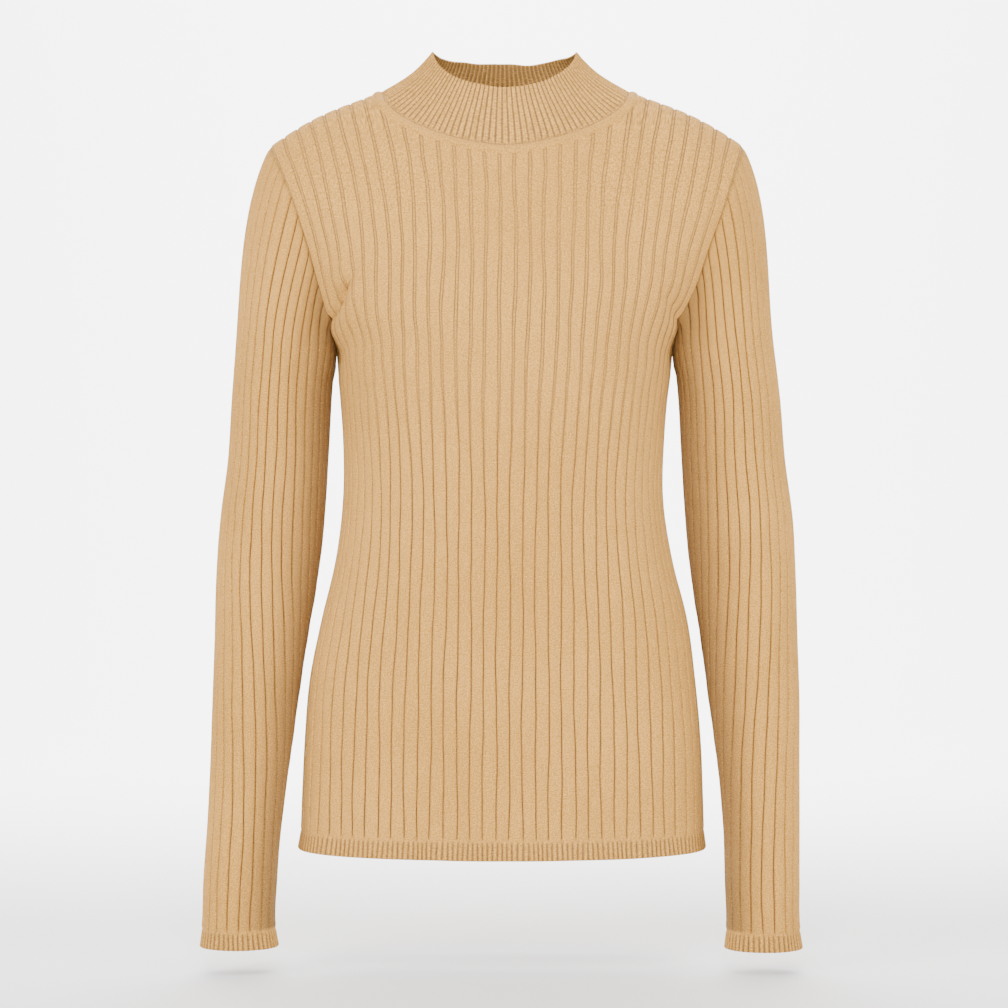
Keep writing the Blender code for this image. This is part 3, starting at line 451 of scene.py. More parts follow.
YOKE_ROWS = (0.04, 0.08, 0.13, 0.18, 0.24, 0.3, 0.36, 0.42, 0.48, 0.54, 0.6, 0.66, 0.72, 0.78,
             0.84, 0.88, 0.91, 0.94, 0.96, 0.98, 1.0)
OPENING = (-330.0, 140.0)       # height at which the grooves start to open, and over how much
SEAM_FREE = 0.8         # wander and creases fade out over this many ribs beside a seam
YOKE_FREE = 40.0        # and wander over this much at the top of the yoke
SLOPE_YOKE = 0.015      # the slope of the yoke is taken over this share of it up and down
HEM_WAVE_REACH = 70.0   # the waves in the loose hem fade out over this height
# Rate, start and size of those waves.
HEM_WAVES = ((0.55, 0.4, 0.9), (1.25, 2.1, 0.6), (2.6, 4.4, 0.35))


def smooth_row(table, place):
    """A table's row at any place along its first column, by a smooth curve through its rows."""
    table = np.asarray(table, float)
    if table[0, 0] > table[-1, 0]:
        table = table[::-1]
    knots = table[:, 0]
    slopes = np.gradient(table, knots, axis=0)
    k = int(np.clip(np.searchsorted(knots, place) - 1, 0, len(knots) - 2))
    step = knots[k + 1] - knots[k]
    t = float(within((place - knots[k]) / step))
    return blend(table[k], step * slopes[k], table[k + 1], step * slopes[k + 1], t)


def blend(start, start_way, end, end_way, t):
    """Points at share t of the curves that leave start along start_way and reach end."""
    t = np.asarray(t, float)
    if t.ndim:
        t = t[:, None]
    return ((1 + 2 * t) * (1 - t) ** 2 * start + t * (1 - t) ** 2 * start_way
            + t * t * (3 - 2 * t) * end - t * t * (1 - t) * end_way)


def quarter(half, depth, square, reach):
    """Points on a quarter of a squared oval, at shares of its length from the middle."""
    turn = np.linspace(0.0, math.pi / 2, 241)
    across = half * np.sin(turn) ** (2 / square)
    deep = depth * np.cos(turn) ** (2 / square)
    length = run_length(np.stack([across, deep], axis=1))
    along = within(reach) * length[-1]
    return np.interp(along, length, across), np.interp(along, length, deep)


def rib_reach(ribs, spread):
    """How far out a rib lies, from 0 in the middle to 1 at the armhole seam's column."""
    t = np.abs(ribs) / ARMHOLE_RIBS
    return t * (1 + spread * (1 - t))


def edge_reach(depth, square, edge):
    """Share of a quarter oval's half width and of its length at a given depth."""
    turn = np.linspace(0.0, math.pi / 2, 2001)
    across = np.sin(turn) ** (2 / square)
    deep = depth * np.cos(turn) ** (2 / square)
    k = int(np.argmin(np.abs(deep - edge)))
    length = run_length(np.stack([across * CHEST_HALF, deep], axis=1))
    return across[k], length[k] / length[-1]


def panel_levels(side):
    """Sections of the front or back as rows of z, middle, half widths, depth and shape."""
    rows = []
    for level in [dict(zip(TORSO_COLUMNS, row)) for row in TORSO] + [
            dict(zip(CHEST_COLUMNS, row)) for row in CHEST]:
        middle, square = level["middle"], level[side + "_square"]
        depth = level[side] + (SEAM_DEPTH if side == "front" else -SEAM_DEPTH)
        share, full = 1.0, 1 / rib_reach(SIDE_RIBS, level["spread"])
        if side + "_edge" in level:
            edge = abs(level[side + "_edge"] - SEAM_DEPTH)
            share, full = edge_reach(depth, square, edge)
        rows.append((level["z"], middle, (middle - level["left"]) / share,
                     (level["right"] - middle) / share, depth, square, full, level["spread"]))
    return np.array(rows)


LEVELS = {side: panel_levels(side) for side in ("front", "back")}


def section(side, ribs, z):
    """Inside points of a panel at one height, at rib counts from its middle."""
    _, middle, half_left, half_right, depth, square, full, spread = smooth_row(LEVELS[side], z)
    reach = full * rib_reach(ribs, spread)
    left, deep_left = quarter(half_left, depth, square, reach)
    right, deep_right = quarter(half_right, depth, square, reach)
    across = np.where(ribs < 0, middle - left, middle + right)
    deep = np.where(ribs < 0, deep_left, deep_right)
    towards = -1 if side == "front" else 1
    dip = HEM_DIP * max(0.0, 1 - (z - HEM) / HEM_DIP_REACH) ** 2 if side == "front" else 0.0
    height = z - dip * (1 - np.clip(np.abs(ribs) / SIDE_RIBS, 0, 1) ** 2)
    return np.stack([across, SEAM_DEPTH + towards * deep, height], axis=-1)


def yoke_end(side, ribs):
    """Where a panel's ribs would end on the shoulder line, which runs on across the neck,
    and the directions in which they reach it."""
    hand = np.where(ribs < 0, -1.0, 1.0)
    t = within(np.abs(ribs) / NECK_RIBS)
    over = YOKE_OVER[side]
    inside = (1 - t ** 2) ** 2
    ends = np.stack([
        NECK_MIDDLE + hand * NECK_HALF * (0.9 * t + 0.1 * t ** 3),
        NECK_SIDE[0] + over["depth"] * inside,
        NECK_SIDE[1] + over["rise"] * inside,
    ], axis=-1)
    past = within((np.abs(ribs) - NECK_RIBS) / (ARMHOLE_RIBS - NECK_RIBS))
    tips = np.array([SHOULDER_TIP[-1 if r < 0 else 1] for r in ribs])
    ends += past[:, None] * (tips - ends)
    ends[:, 2] += SHOULDER_BOW * np.sin(math.pi * past ** 1.2)
    turn = np.radians(90.0 - over["turn"] * inside)
    towards = 1.0 if side == "front" else -1.0
    ways = np.stack([np.zeros_like(turn), towards * np.sin(turn), np.cos(turn)], axis=-1)
    return ends, ways


def yoke(side, ribs, t):
    """Inside points of a panel between the chest (0) and the shoulder line (1)."""
    start = section(side, ribs, CHEST_TOP)
    way = unit(start - section(side, ribs, CHEST_TOP - 4.0))
    ends, ways = yoke_end(side, ribs)
    length = np.linalg.norm(ends - start, axis=-1, keepdims=True)
    return blend(start, way * length, ends, ways * length * 0.9, t)


def neck_share(side, ribs):
    """The share of the yoke at which each rib is cut off by the neckline."""
    steps = np.linspace(0.0, 1.0, 61)
    shares = np.ones(len(ribs))
    above = np.stack([yoke(side, ribs, np.full(len(ribs), t)) for t in steps], axis=1)
    across = within(np.abs(above[..., 0] - NECK_MIDDLE) / NECK_HALF)
    rise = (1 - np.sqrt(1 - across ** 2)) ** 0.8
    line = NECK_LOW[side] + (NECK_SIDE[1] - NECK_LOW[side]) * rise
    past = above[..., 2] - line
    for k, rib in enumerate(ribs):
        crossed = np.nonzero(past[k] >= 0)[0]
        if abs(rib) < NECK_RIBS - 1e-6 and len(crossed) and crossed[0] > 0:
            j = crossed[0]
            part = past[k, j - 1] / (past[k, j - 1] - past[k, j])
            shares[k] = steps[j - 1] + part * (steps[j] - steps[j - 1])
    return shares


def yoke_share(side, ribs, place):
    """How far up the yoke each rib is at a row's place, up to where the neckline cuts it."""
    t = (place - CHEST_TOP) / YOKE
    cut = neck_share(side, ribs)
    middle = neck_share(side, np.array([0.5]))[0]
    even = middle + (1 - middle) * (np.abs(ribs) / ARMHOLE_RIBS) ** 1.5
    near = within((t - LAST_YOKE_ROW) / (1 - LAST_YOKE_ROW))
    return t * (even + (cut - even) * near)


def panel(side, ribs, place):
    """Inside points of a panel along one row: a height up to the chest, then the yoke."""
    if place <= CHEST_TOP:
        points = section(side, ribs, place)
        low = TORSO[-2][0]
        if place > low:
            outer = np.abs(ribs) > ARMHOLE_RIBS
            if outer.any():
                points[outer] = underarm_part(side, ribs[outer], place, low)
        return points
    return yoke(side, ribs, yoke_share(side, ribs, place))


def bound_off(side, ribs):
    """The top of the ribs that end at the underarm."""
    hand = np.where(ribs < 0, -1, 1)
    corner = np.array([section(side, np.array([h * ARMHOLE_RIBS]), UNDERARM)[0] for h in hand])
    point = np.array([UNDERARM_POINT[int(h)] for h in hand])
    t = (np.abs(ribs) - ARMHOLE_RIBS) / (SIDE_RIBS - ARMHOLE_RIBS)
    line = corner + (point - corner) * t[:, None]
    line[:, 2] = corner[:, 2] + (point - corner)[:, 2] * np.sin(t * math.pi / 2)
    return line


def underarm_part(side, ribs, place, low):
    """Points of the ribs that end at the underarm, between a low section and their top."""
    hand = np.where(ribs < 0, -1.0, 1.0)
    t = within((place - low) / (UNDERARM - low))
    edge = hand * ARMHOLE_RIBS
    base = section(side, edge, place)
    below = section(side, ribs, low)
    shift = below + (bound_off(side, ribs) - below) * t
    edge_below = section(side, edge, low)
    edge_shift = edge_below + (bound_off(side, edge) - edge_below) * t
    inward = 1 - ((np.abs(ribs) - ARMHOLE_RIBS) / (SIDE_RIBS - ARMHOLE_RIBS))[:, None]
    return shift + (base - edge_shift) * inward


def panel_normals(side, ribs, place):
    """Outward directions of a panel along one row."""
    top = UNDERARM if np.abs(ribs).max() > ARMHOLE_RIBS + 1e-6 else CHEST_TOP
    limit = SIDE_RIBS if place <= UNDERARM else ARMHOLE_RIBS
    left = np.maximum(ribs - SLOPE_RIBS, -limit)
    right = np.minimum(ribs + SLOPE_RIBS, limit)
    if place > CHEST_TOP:
        share = yoke_share(side, ribs, place)
        across = yoke(side, right, share) - yoke(side, left, share)
        up = (yoke(side, ribs, np.minimum(share + SLOPE_YOKE, 1.0))
              - yoke(side, ribs, share - SLOPE_YOKE))
    else:
        low = max(place - SLOPE_HEIGHT, TORSO[0][0])
        high = min(place + SLOPE_HEIGHT, top)
        across = panel(side, right, place) - panel(side, left, place)
        up = panel(side, ribs, high) - panel(side, ribs, low)
    turned = np.cross(across, up)
    return unit(turned if side == "front" else -turned)


def panel_columns():
    """Places across a panel in ribs: several to a rib, and more towards the neck points."""
    ribs = np.concatenate([k - SIDE_RIBS + np.array(RIB_STEPS) for k in range(int(2 * SIDE_RIBS))])
    turns = np.radians((72.0, 77.0, 81.0, 84.0, 86.5, 88.5, 90.0))
    neck = NECK_RIBS * np.sin(turns)
    return np.unique(np.round(np.concatenate([ribs, [SIDE_RIBS], neck, -neck]), 6))


def hem_wave(side, ribs, place):
    """How far the loose hem stands in or out, which dies away above it."""
    low = within(1 - (place - HEM) / HEM_WAVE_REACH) ** 2
    low = low * (1 - (np.abs(ribs) / SIDE_RIBS) ** 6)
    shift = 0.0 if side == "front" else 1.7
    waves = sum(tall * np.sin(rate * ribs * 0.42 + turn + shift)
                for rate, turn, tall in HEM_WAVES)
    return low * waves


def panel_row(side, ribs, place, wall, folds):
    """Outer points of a panel along one row."""
    limit = SIDE_RIBS if place <= UNDERARM else ARMHOLE_RIBS
    free = smoothstep((limit - np.abs(ribs)) / SEAM_FREE)
    top = smoothstep((CHEST_TOP + YOKE - place) / YOKE_FREE)
    ribs = ribs + wander(ribs, place) * free * top
    base = panel(side, ribs, place)
    normals = panel_normals(side, ribs, place)
    out = (wall + hem_wave(side, ribs, place))[:, None]
    return creased(base + normals * out, normals, folds, free)


def panel_patches(side, folds):
    """The body of a panel and the fine-ribbed band along its hem."""
    def hem_row(share, place, wall):
        row = panel_row(side, share * SIDE_RIBS, max(place, HEM), wall, folds)
        row[:, 2] += min(place - HEM, 0.0)
        return row

    ribs = panel_columns()
    low = np.append(HEM_BAND, np.arange(HEM_BAND + 2.6, UNDERARM - 1.0, ROW_STEP))
    places = np.concatenate([low, np.linspace(UNDERARM, CHEST_TOP, 17),
                             CHEST_TOP + YOKE * np.array(YOKE_ROWS)])
    rows, grooves, lines = [], [], []
    for place in places:
        limit = SIDE_RIBS if place <= UNDERARM else ARMHOLE_RIBS
        here = np.clip(ribs, -limit, limit)
        away = np.abs(here - 0.5 - np.round(here - 0.5))
        opened = smoothstep((place - OPENING[0]) / OPENING[1])
        band = smoothstep((place - HEM_BAND) / BAND_EDGE)
        wall = rib_wall(away, opened) * band + FINE_WALL * (1 - band)
        rows.append(panel_row(side, here, place, wall, folds))
        # Painted shade in each groove, a little lighter where it opens, and the strength of its
        # painted shade lines, doubled where it opens.
        grooves.append((0.28 - 0.1 * opened) * (1 - smoothstep(away / GROOVE_SIDE)) * band)
        lines.append([(1 + opened) * band])
    courses = run_length([row[len(ribs) // 2] for row in rows])[:, None] / COURSE
    above = places[:-1, None] >= UNDERARM - 1e-6
    outside = np.abs(ribs[:-1] + ribs[1:]) / 2 > ARMHOLE_RIBS
    return [patch(rows, ribs * WALES_PER_RIB, courses, grooves, lines, ~(above & outside)),
            fine_band(HEM_FINE_RIBS, HEM_BAND, HEM_ROWS, hem_row)]


# The front's cut and creases.
FRONT_FOLDS = (
    (-137.5, -187, -124, -160, 3.6, -4.4, 3),
    (-129, -166, -126.5, -173, 6.5, -2.2, 4),
    (-135, -196, -129, -204, 6, 3.4, 0),
    (-120, -174, -126, -192, 5, 1.7, 0),
    (-134, -158, -128, -148, 4.5, 1.5, 0),
    (-121, -158, -115, -147, 4, -1.4, 1.5),
    (-136, -214, -110, -248, 7, -1.2, 1),
    (138.5, -186, 128, -166, 4.5, -2.2, 2),
    (136, -196, 130, -206, 6.5, 1.8, 0),
    (122, -178, 127, -194, 6, 1, 0),
    (137, -216, 114, -244, 8, -0.8, 0.5),
)

# The third colour is the painted shade in the grooves and stitch hollows.
front = cloth_shell("front_panel", panel_patches("front", FRONT_FOLDS),
                    lambda centre: Vector((0.0, -1.0, 0.0)),
                    knit("front knit", (0.47, 0.231, 0.040), (0.79, 0.408, 0.086),
                         (0.125, 0.069, 0.031)))
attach(front, "root")
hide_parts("front")

# --- Back ------------------------------------------------------------------------------------
# The back panel, of the same knit and the same count of ribs, with a higher neckline. It is sewn
# to the front at the sides and shoulders, with softer creases under the arms.

BACK_FOLDS = (
    (-138, -186, -126, -160, 4.5, -3, 2.5),
    (-135, -196, -128, -206, 6.5, 2.2, 0),
    (-136, -212, -108, -246, 8, -1.3, 1),
    (138, -188, 124, -158, 4.5, -3.4, 2.5),
    (134, -196, 129, -208, 6, 2.5, 0),
    (120, -176, 125, -192, 6, 1.2, 0),
    (137, -214, 110, -250, 8, -1.1, 1),
)

# The third colour is the painted shade in the grooves and stitch hollows.
back = cloth_shell("back_panel", panel_patches("back", BACK_FOLDS),
                   lambda centre: Vector((0.0, 1.0, 0.0)),
                   knit("back knit", (0.46, 0.226, 0.039), (0.78, 0.402, 0.084),
                        (0.122, 0.067, 0.030)))
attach(back, "root")
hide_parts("back")

# --- Sleeves ---------------------------------------------------------------------------------
# Two long set-in sleeves of the same knit, each sewn along the underarm and into its armhole.
# Ribs end one by one on the underarm seam, and a fine rib is knitted on as the cuff.

# Sections of each sleeve: height, centre, depth of its middle, half width, half depth, and ribs
# from the outer line to the underarm seam.
SLEEVE = {
    -1: (
        (-208, -178.6, 0, 38.4, 40, 16),
        (-252, -182, 2, 38.4, 40, 16),
        (-301, -184.9, 4, 38.8, 40, 15.7),
        (-350, -189.8, 5.5, 40.4, 40.5, 15.3),
        (-399, -194.3, 5, 39.2, 40, 14.4),
        (-449, -198.8, 0, 35.5, 38, 12.9),
        (-498, -202.7, -8, 32.6, 34.5, 11.6),
        (-545, -206, -17, 30, 31.5, 10.5),
        (-593, -209.7, -26, 27.8, 28.5, 9.8),
        (-641, -212.8, -33, 27.4, 27.5, 9.5),
        (-679, -213.6, -38, 27.6, 27, 9.5),
        (-693.5, -213, -40, 29.8, 29, 9.5),
    ),
    1: (
        (-208, 180.4, 0, 38.6, 40, 16),
        (-252, 185.3, 2, 39.2, 40, 16),
        (-301, 188.6, 4, 40, 40.5, 15.7),
        (-350, 193.5, 5.5, 41.7, 41.5, 15.3),
        (-399, 197.2, 5, 40.4, 41, 14.5),
        (-449, 201.3, 0, 37.2, 39, 13.1),
        (-498, 204.7, -8, 34.6, 35.5, 11.8),
        (-545, 207.2, -17, 31.2, 32, 10.6),
        (-593, 208.9, -26, 28.7, 29, 9.8),
        (-641, 209.1, -33, 27.8, 27.5, 9.5),
        (-681, 209.5, -38, 27.7, 27, 9.5),
        (-695, 209.7, -40, 29.6, 29, 9.5),
    ),
}
CAP_END = -208.0        # the sleeve cap runs from the armhole seam down to this height
CAP_RIBS = 16.0         # ribs from the outer line to the underarm seam, on the cap
# Where the seam passes places on the body, and the sleeve's rib count there.
ARMHOLE_COUNTS = (
    (-187.0, 13.0), (-166.0, 11.5), (-146.0, 10.0), (-125.0, 8.5), (-104.0, 7.0),
    (-72.0, 5.3), (-44.0, 3.3), (-20.0, 1.5), (-4.0, 0.0),
)
CUFF_HEIGHT = 14.0
CUFF_ROWS = (0.0, 2.0, 5.0, 8.5, 11.5, 13.4, CUFF_HEIGHT)       # down from its top
CUFF_FINE_RIBS = 46     # round each cuff
SLEEVE_STEPS = (0.0, 0.05, 0.11, 0.22, 0.5, 0.78, 0.89, 0.95)   # columns across one rib
CAP_STEPS = (0.0, 0.012, 0.03, 0.06, 0.1, 0.16, 0.22, 0.29, 0.36, 0.43, 0.5, 0.58, 0.66, 0.74,
             0.82, 0.91)
SLEEVE_CROWN = 0.45      # the sleeves' ribs are rounder than the body's by this much
TIGHT_RIBS = 9.0         # ribs past this count lie in the tight fold under the arm
TIGHT_FADE = 5.0         # which is complete after this many more
SLOPE_SHARE = 0.02       # the slope of cap or collar is taken over this share of its height
SLEEVE_MIDDLE = 0.19     # a place inside each sleeve, in metres to its own side
SLEEVE_FOLDS = {
    -1: ((-143, -204, -142, -226, 6, 2, 0),
         (-158, -196, -166, -240, 6, -1.6, 0),
         (-221, -352, -196, -372, 9, -0.9, 0),
         (-168, -398, -188, -380, 8, -1, 0)),
    1: ((144, -204, 143, -222, 6, 1.8, 0),
        (158, -192, 168, -240, 6, -1.4, 0),
        (224, -368, 200, -350, 9, -0.9, 0),
        (170, -384, 190, -402, 8, -1, 0)),
}


def ring(hand, ribs, z):
    """Inside points of a sleeve at one height, at rib counts from its outer line."""
    _, centre, depth, half_width, half_depth, count = smooth_row(SLEEVE[hand], z)
    turn = math.pi * ribs / count
    return np.stack([centre + hand * half_width * np.cos(turn),
                     depth - half_depth * np.sin(turn), np.full(turn.shape, z)], axis=-1)


def sleeve_count(hand, z):
    """Ribs between the outer line and the underarm seam at one height."""
    return float(smooth_row(SLEEVE[hand], z)[5])


def tube_way(hand, ribs):
    """Directions straight out from a round sleeve, at rib counts from its outer line."""
    turn = math.pi * ribs / CAP_RIBS
    return np.stack([hand * np.cos(turn), -np.sin(turn), np.zeros_like(turn)], axis=-1)


def armhole(hand):
    """The armhole seam as corners: rib counts of the sleeve, points, outward directions,
    and the directions that lead from the panels to the sleeve."""
    corners = []
    table = np.array(ARMHOLE_COUNTS)
    places = np.concatenate([np.linspace(UNDERARM, CHEST_TOP, 14),
                             CHEST_TOP + YOKE * np.linspace(0.06, 1.0, 17)])
    edge = np.array([hand * ARMHOLE_RIBS])
    for side, sign in (("back", -1), ("front", 1)):
        for place in places:
            count = float(np.interp(place, table[:, 0], table[:, 1]))
            if count > 0.0 or side == "front":
                corners.append((sign * count, panel(side, edge, place)[0],
                                panel_normals(side, edge, place)[0]))
        corner = panel_normals(side, edge, UNDERARM)[0]
        extras = np.linspace(0.25, 3.0, 12)
        for extra in extras if side == "front" else extras[:-1]:
            point = bound_off(side, np.array([hand * (ARMHOLE_RIBS + extra)]))[0]
            face = unit([hand * 1.0, -0.55 * sign * (1 - extra / 3), 0.0])
            near = smoothstep(extra / 1.5)
            corners.append((sign * (CAP_RIBS - 3.0 + extra), point,
                            unit((1 - near) * corner + near * face)))
    corners.sort(key=lambda corner: corner[0])
    counts, points, normals = (np.array(column) for column in zip(*corners))
    normals[counts == 0.0] = unit([hand * 0.62, 0.0, 0.78])
    share = within((np.abs(counts) - 5.0) / 11.0)[:, None] ** 1.5
    down = np.array([0.0, 0.0, -1.0])
    normals = unit(normals + share * tube_way(hand, counts) + share ** 2 * down)
    counts = np.append(counts[-1] - 2 * CAP_RIBS, counts)
    points = np.vstack([points[-1:], points])
    normals = np.vstack([normals[-1:], normals])
    before = np.vstack([points[-2:-1], points[:-1]])
    after = np.vstack([points[1:], points[1:2]])
    leads = unit(np.cross(unit(after - before), normals)) * hand
    outward = points - np.array([hand * 60.0, 0.0, -60.0])
    if np.sum(leads * outward) < 0:
        leads = -leads
    return counts, points, normals, leads


def along(places, rows, at):
    """Rows between corners, in straight steps."""
    return np.stack([np.interp(at, places, rows[:, k]) for k in range(rows.shape[1])], axis=-1)


ARMHOLES = {hand: armhole(hand) for hand in (-1, 1)}


def fold_under(ribs):
    """How far a sleeve's ribs lie in the tight fold under the arm, from 0 to 1."""
    return smoothstep((np.abs(ribs) - TIGHT_RIBS) / TIGHT_FADE)[:, None]


def sleeve_cap(hand, ribs, t):
    """Inside points of a sleeve between the armhole seam (0) and its first ring (1)."""
    counts, points, normals, leads = ARMHOLES[hand]
    start = along(counts, points, ribs)
    end = ring(hand, ribs, CAP_END)
    end_way = unit(ring(hand, ribs, CAP_END - 3.0) - end)
    length = np.linalg.norm(end - start, axis=-1, keepdims=True)
    face = along(counts, normals, ribs)
    fall = np.tile(unit([hand * 0.30, 0.0, -0.95]), (len(ribs), 1))
    fall = unit(fall - 0.3 * np.sum(fall * face, axis=-1, keepdims=True) * face)
    low = fold_under(ribs)
    way = unit((1 - low) * fall + low * along(counts, leads, ribs))
    reach = (1 - low) * length * 0.95 + low * 5.0
    return blend(start, way * reach, end, end_way * length * (1 - 0.4 * low), t)


def sleeve(hand, ribs, place):
    """Inside points of a sleeve: 0 to 1 on the cap, then a height."""
    if place >= 0.0:
        return sleeve_cap(hand, ribs, place)
    return ring(hand, ribs, place)


def turned_out(across, along_it, points):
    """Directions square to two others at the points of a row, away from its middle."""
    turned = np.cross(across, along_it)
    inward = np.sum(turned * (points - points.mean(axis=0))) < 0
    return unit(-turned if inward else turned)


def sleeve_normals(hand, ribs, place):
    """Outward directions of a sleeve along one row."""
    across = sleeve(hand, ribs + SLOPE_RIBS, place) - sleeve(hand, ribs - SLOPE_RIBS, place)
    if place >= 0.0:
        down = (sleeve(hand, ribs, min(place + SLOPE_SHARE, 1.0))
                - sleeve(hand, ribs, max(place - SLOPE_SHARE, 0.0)))
    else:
        floor = SLEEVE[hand][-1][0]
        down = (sleeve(hand, ribs, max(place - SLOPE_HEIGHT, floor))
                - sleeve(hand, ribs, place + SLOPE_HEIGHT))
    turned = turned_out(across, down, sleeve(hand, ribs, place))
    if place >= 0.0:
        counts, _, faces, _ = ARMHOLES[hand]
        tube = tube_way(hand, ribs)
        eased = unit((1 - place) * along(counts, faces, ribs) + place * tube)
        low = fold_under(ribs)
        turned = unit((1 - low) * turned + low * eased)
    return turned


def sleeve_row(hand, ribs, place, count, wall):
    """Outer points of a sleeve along one row, with its creases."""
    if place < 0.0:
        near = smoothstep(-place / 250.0)
        ribs = ribs + wander(ribs + 3.0 * hand, place) * near * (1 - (ribs / count) ** 4)
    base = sleeve(hand, ribs, place)
    normals = sleeve_normals(hand, ribs, place)
    if place >= 0.0:
        counts, _, faces, _ = ARMHOLES[hand]
        near = smoothstep(place / 0.1)
        normals = unit((1 - near) * along(counts, faces, ribs) + near * normals)
    free = np.full(len(ribs), smoothstep(place / 0.06) if place >= 0.0 else 1.0)
    points = creased(base + normals * wall[:, None], normals, SLEEVE_FOLDS[hand], free)
    points[np.abs(ribs) > count - 1e-6] = (points[0] + points[-1]) / 2
    return points


def sleeve_patches(hand):
    """The sleeve from the armhole seam to the cuff, and the fine-ribbed cuff."""
    def cuff_row(share, place, wall):
        count = sleeve_count(hand, place)
        return sleeve_row(hand, share * count, place, count, wall)

    steps = np.array(SLEEVE_STEPS)
    ribs = np.append([k + steps for k in np.arange(-CAP_RIBS, CAP_RIBS)], CAP_RIBS)
    band_top = SLEEVE[hand][-1][0] + CUFF_HEIGHT
    places = np.concatenate([CAP_STEPS, np.linspace(CAP_END, band_top + 2.6, 84), [band_top]])
    rows, grooves, lines = [], [], []
    for place in places:
        count = CAP_RIBS if place >= 0.0 else sleeve_count(hand, place)
        here = np.clip(ribs, -count, count)
        away = np.minimum(np.abs(here - np.round(here)), count - np.abs(here))
        wall = rib_wall(away, 0.0) - 0.3 * (1 - smoothstep(away / GROOVE_SIDE))
        wall = wall + SLEEVE_CROWN * (np.sin(math.pi * np.clip(away, 0.0, 0.5)) - 0.6)
        edge = math.exp(-(place / 0.02) ** 2) if place >= 0.0 else 0.0
        band = smoothstep((place - band_top) / BAND_EDGE) if place < 0.0 else 1.0
        wall = (wall * band + FINE_WALL * (1 - band)) * (1 - 0.45 * edge)
        rows.append(sleeve_row(hand, here, place, count, wall))
        seam = 0.8 * (1 - smoothstep((count - np.abs(here)) / 0.1))
        # Painted shade in each groove, and more towards the underarm: partly the ribs closing up
        # there, partly painted shade where the body shades the inner side of the sleeve.
        closed_and_shaded = 0.75 * smoothstep((np.abs(here) / count - 0.45) / 0.4)
        shade = np.maximum(0.2 * (1 - smoothstep(away / 0.12)), closed_and_shaded)
        grooves.append(np.maximum(np.maximum(shade, seam), 0.5 * edge) * band)
        lines.append([band])
    courses = -run_length([row[len(ribs) // 2] for row in rows])[:, None] / COURSE
    return [patch(rows, (ribs + 0.5) * WALES_PER_RIB, courses, grooves, lines),
            fine_band(CUFF_FINE_RIBS, band_top, band_top - np.array(CUFF_ROWS), cuff_row)]


for hand, name, node in ((1, "left_sleeve", "sleeve_left"), (-1, "right_sleeve", "sleeve_right")):
    # The third colour is the painted shade in the grooves and stitch hollows.
    tube = cloth_shell(name, sleeve_patches(hand),
                       lambda centre: Vector((centre.x - hand * SLEEVE_MIDDLE, centre.y, 0.0)),
                       knit(node + " knit", (0.455, 0.223, 0.038), (0.77, 0.396, 0.083),
                            (0.105, 0.058, 0.027), 0.037))
    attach(tube, "root")
    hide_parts(node)

# --- Collar ----------------------------------------------------------------------------------
# A mock neck in a fine one-by-one rib of the same yarn, linked to the neckline with a plain
# rolled band over the ends of the body's ribs. It stands open, and its inside shows at the back.

# The rim, and how steeply the collar leaves the seam and reaches the rim, in degrees.
RIM_MIDDLE = 0.8
RIM_HALF = 57.5
RIM_DEPTH = {"front": -53.0, "back": 56.0}
RIM_HEIGHT = {"front": -5.0, "side": 33.0, "back": 31.5}
COLLAR_FINE_RIBS = 104  # round the neck
BASE_RISE = {"front": 72.0, "side": 26.0, "back": 74.0}
RIM_RISE = {"front": 62.0, "side": 52.0, "back": 78.0}
# The rolled band: shares of the collar's height and how far it stands out there.
BAND_WALLS = ((-0.048, 1.5), (-0.040, 2.4), (-0.022, 3.3), (0.0, 3.8), (0.022, 3.9),
              (0.045, 3.75), (0.066, 3.2), (0.084, 2.4), (0.098, 1.6))
COLLAR_HEIGHT = 54.0
SLOPE_ROUND = 0.002     # the slope of the collar is taken over this share of its round
BAND_LENGTH = 520.0     # the rolled band is knitted lengthwise, to this length
BAND_WALE = 1.3         # width of a line of its stitches
# Rate, start and size of the waves in the band and along the rim.
BAND_WAVES = ((23.0, 0.4, 0.16), (41.0, 2.2, 0.13), (67.0, 3.9, 0.1))
RIM_WAVES = ((5.0, 0.6, 0.7), (9.0, 2.0, 0.45), (17.0, 4.1, 0.15))
SEAM_SHADE = 0.6        # painted shade along the band's two edges, where its roll stands up from the cloth


def neck_seam():
    """The neck seam as corners round from the back's middle: shares of its length, and
    points."""
    turn = np.radians(np.arange(-90.0, 90.1, 3.0))
    ribs = NECK_RIBS * np.sin(turn)
    place = CHEST_TOP + YOKE
    back_line = panel("back", ribs[::-1], place)
    front_line = panel("front", ribs, place)
    half = len(ribs) // 2
    points = np.vstack([back_line[half:], front_line[1:], back_line[1:half + 1]])
    length = run_length(points)
    return length / length[-1], points


NECK_SEAM = neck_seam()


def rim(shares):
    """Inside points of the collar's rim, at shares of the way round from the back."""
    turn = np.linspace(0.0, 2 * math.pi, 721)
    cosine = np.cos(turn)
    across = RIM_MIDDLE - RIM_HALF * np.sin(turn)
    front = np.sqrt(within(-cosine) ** 2 + 0.0036) - 0.06
    back = within(cosine)
    deep = RIM_DEPTH["back"] * back + RIM_DEPTH["front"] * front
    high = (RIM_HEIGHT["side"] + (RIM_HEIGHT["back"] - RIM_HEIGHT["side"]) * back
            + (RIM_HEIGHT["front"] - RIM_HEIGHT["side"]) * front)
    points = np.stack([across, deep, high], axis=-1)
    length = run_length(points)
    return along(length / length[-1], points, shares % 1.0)


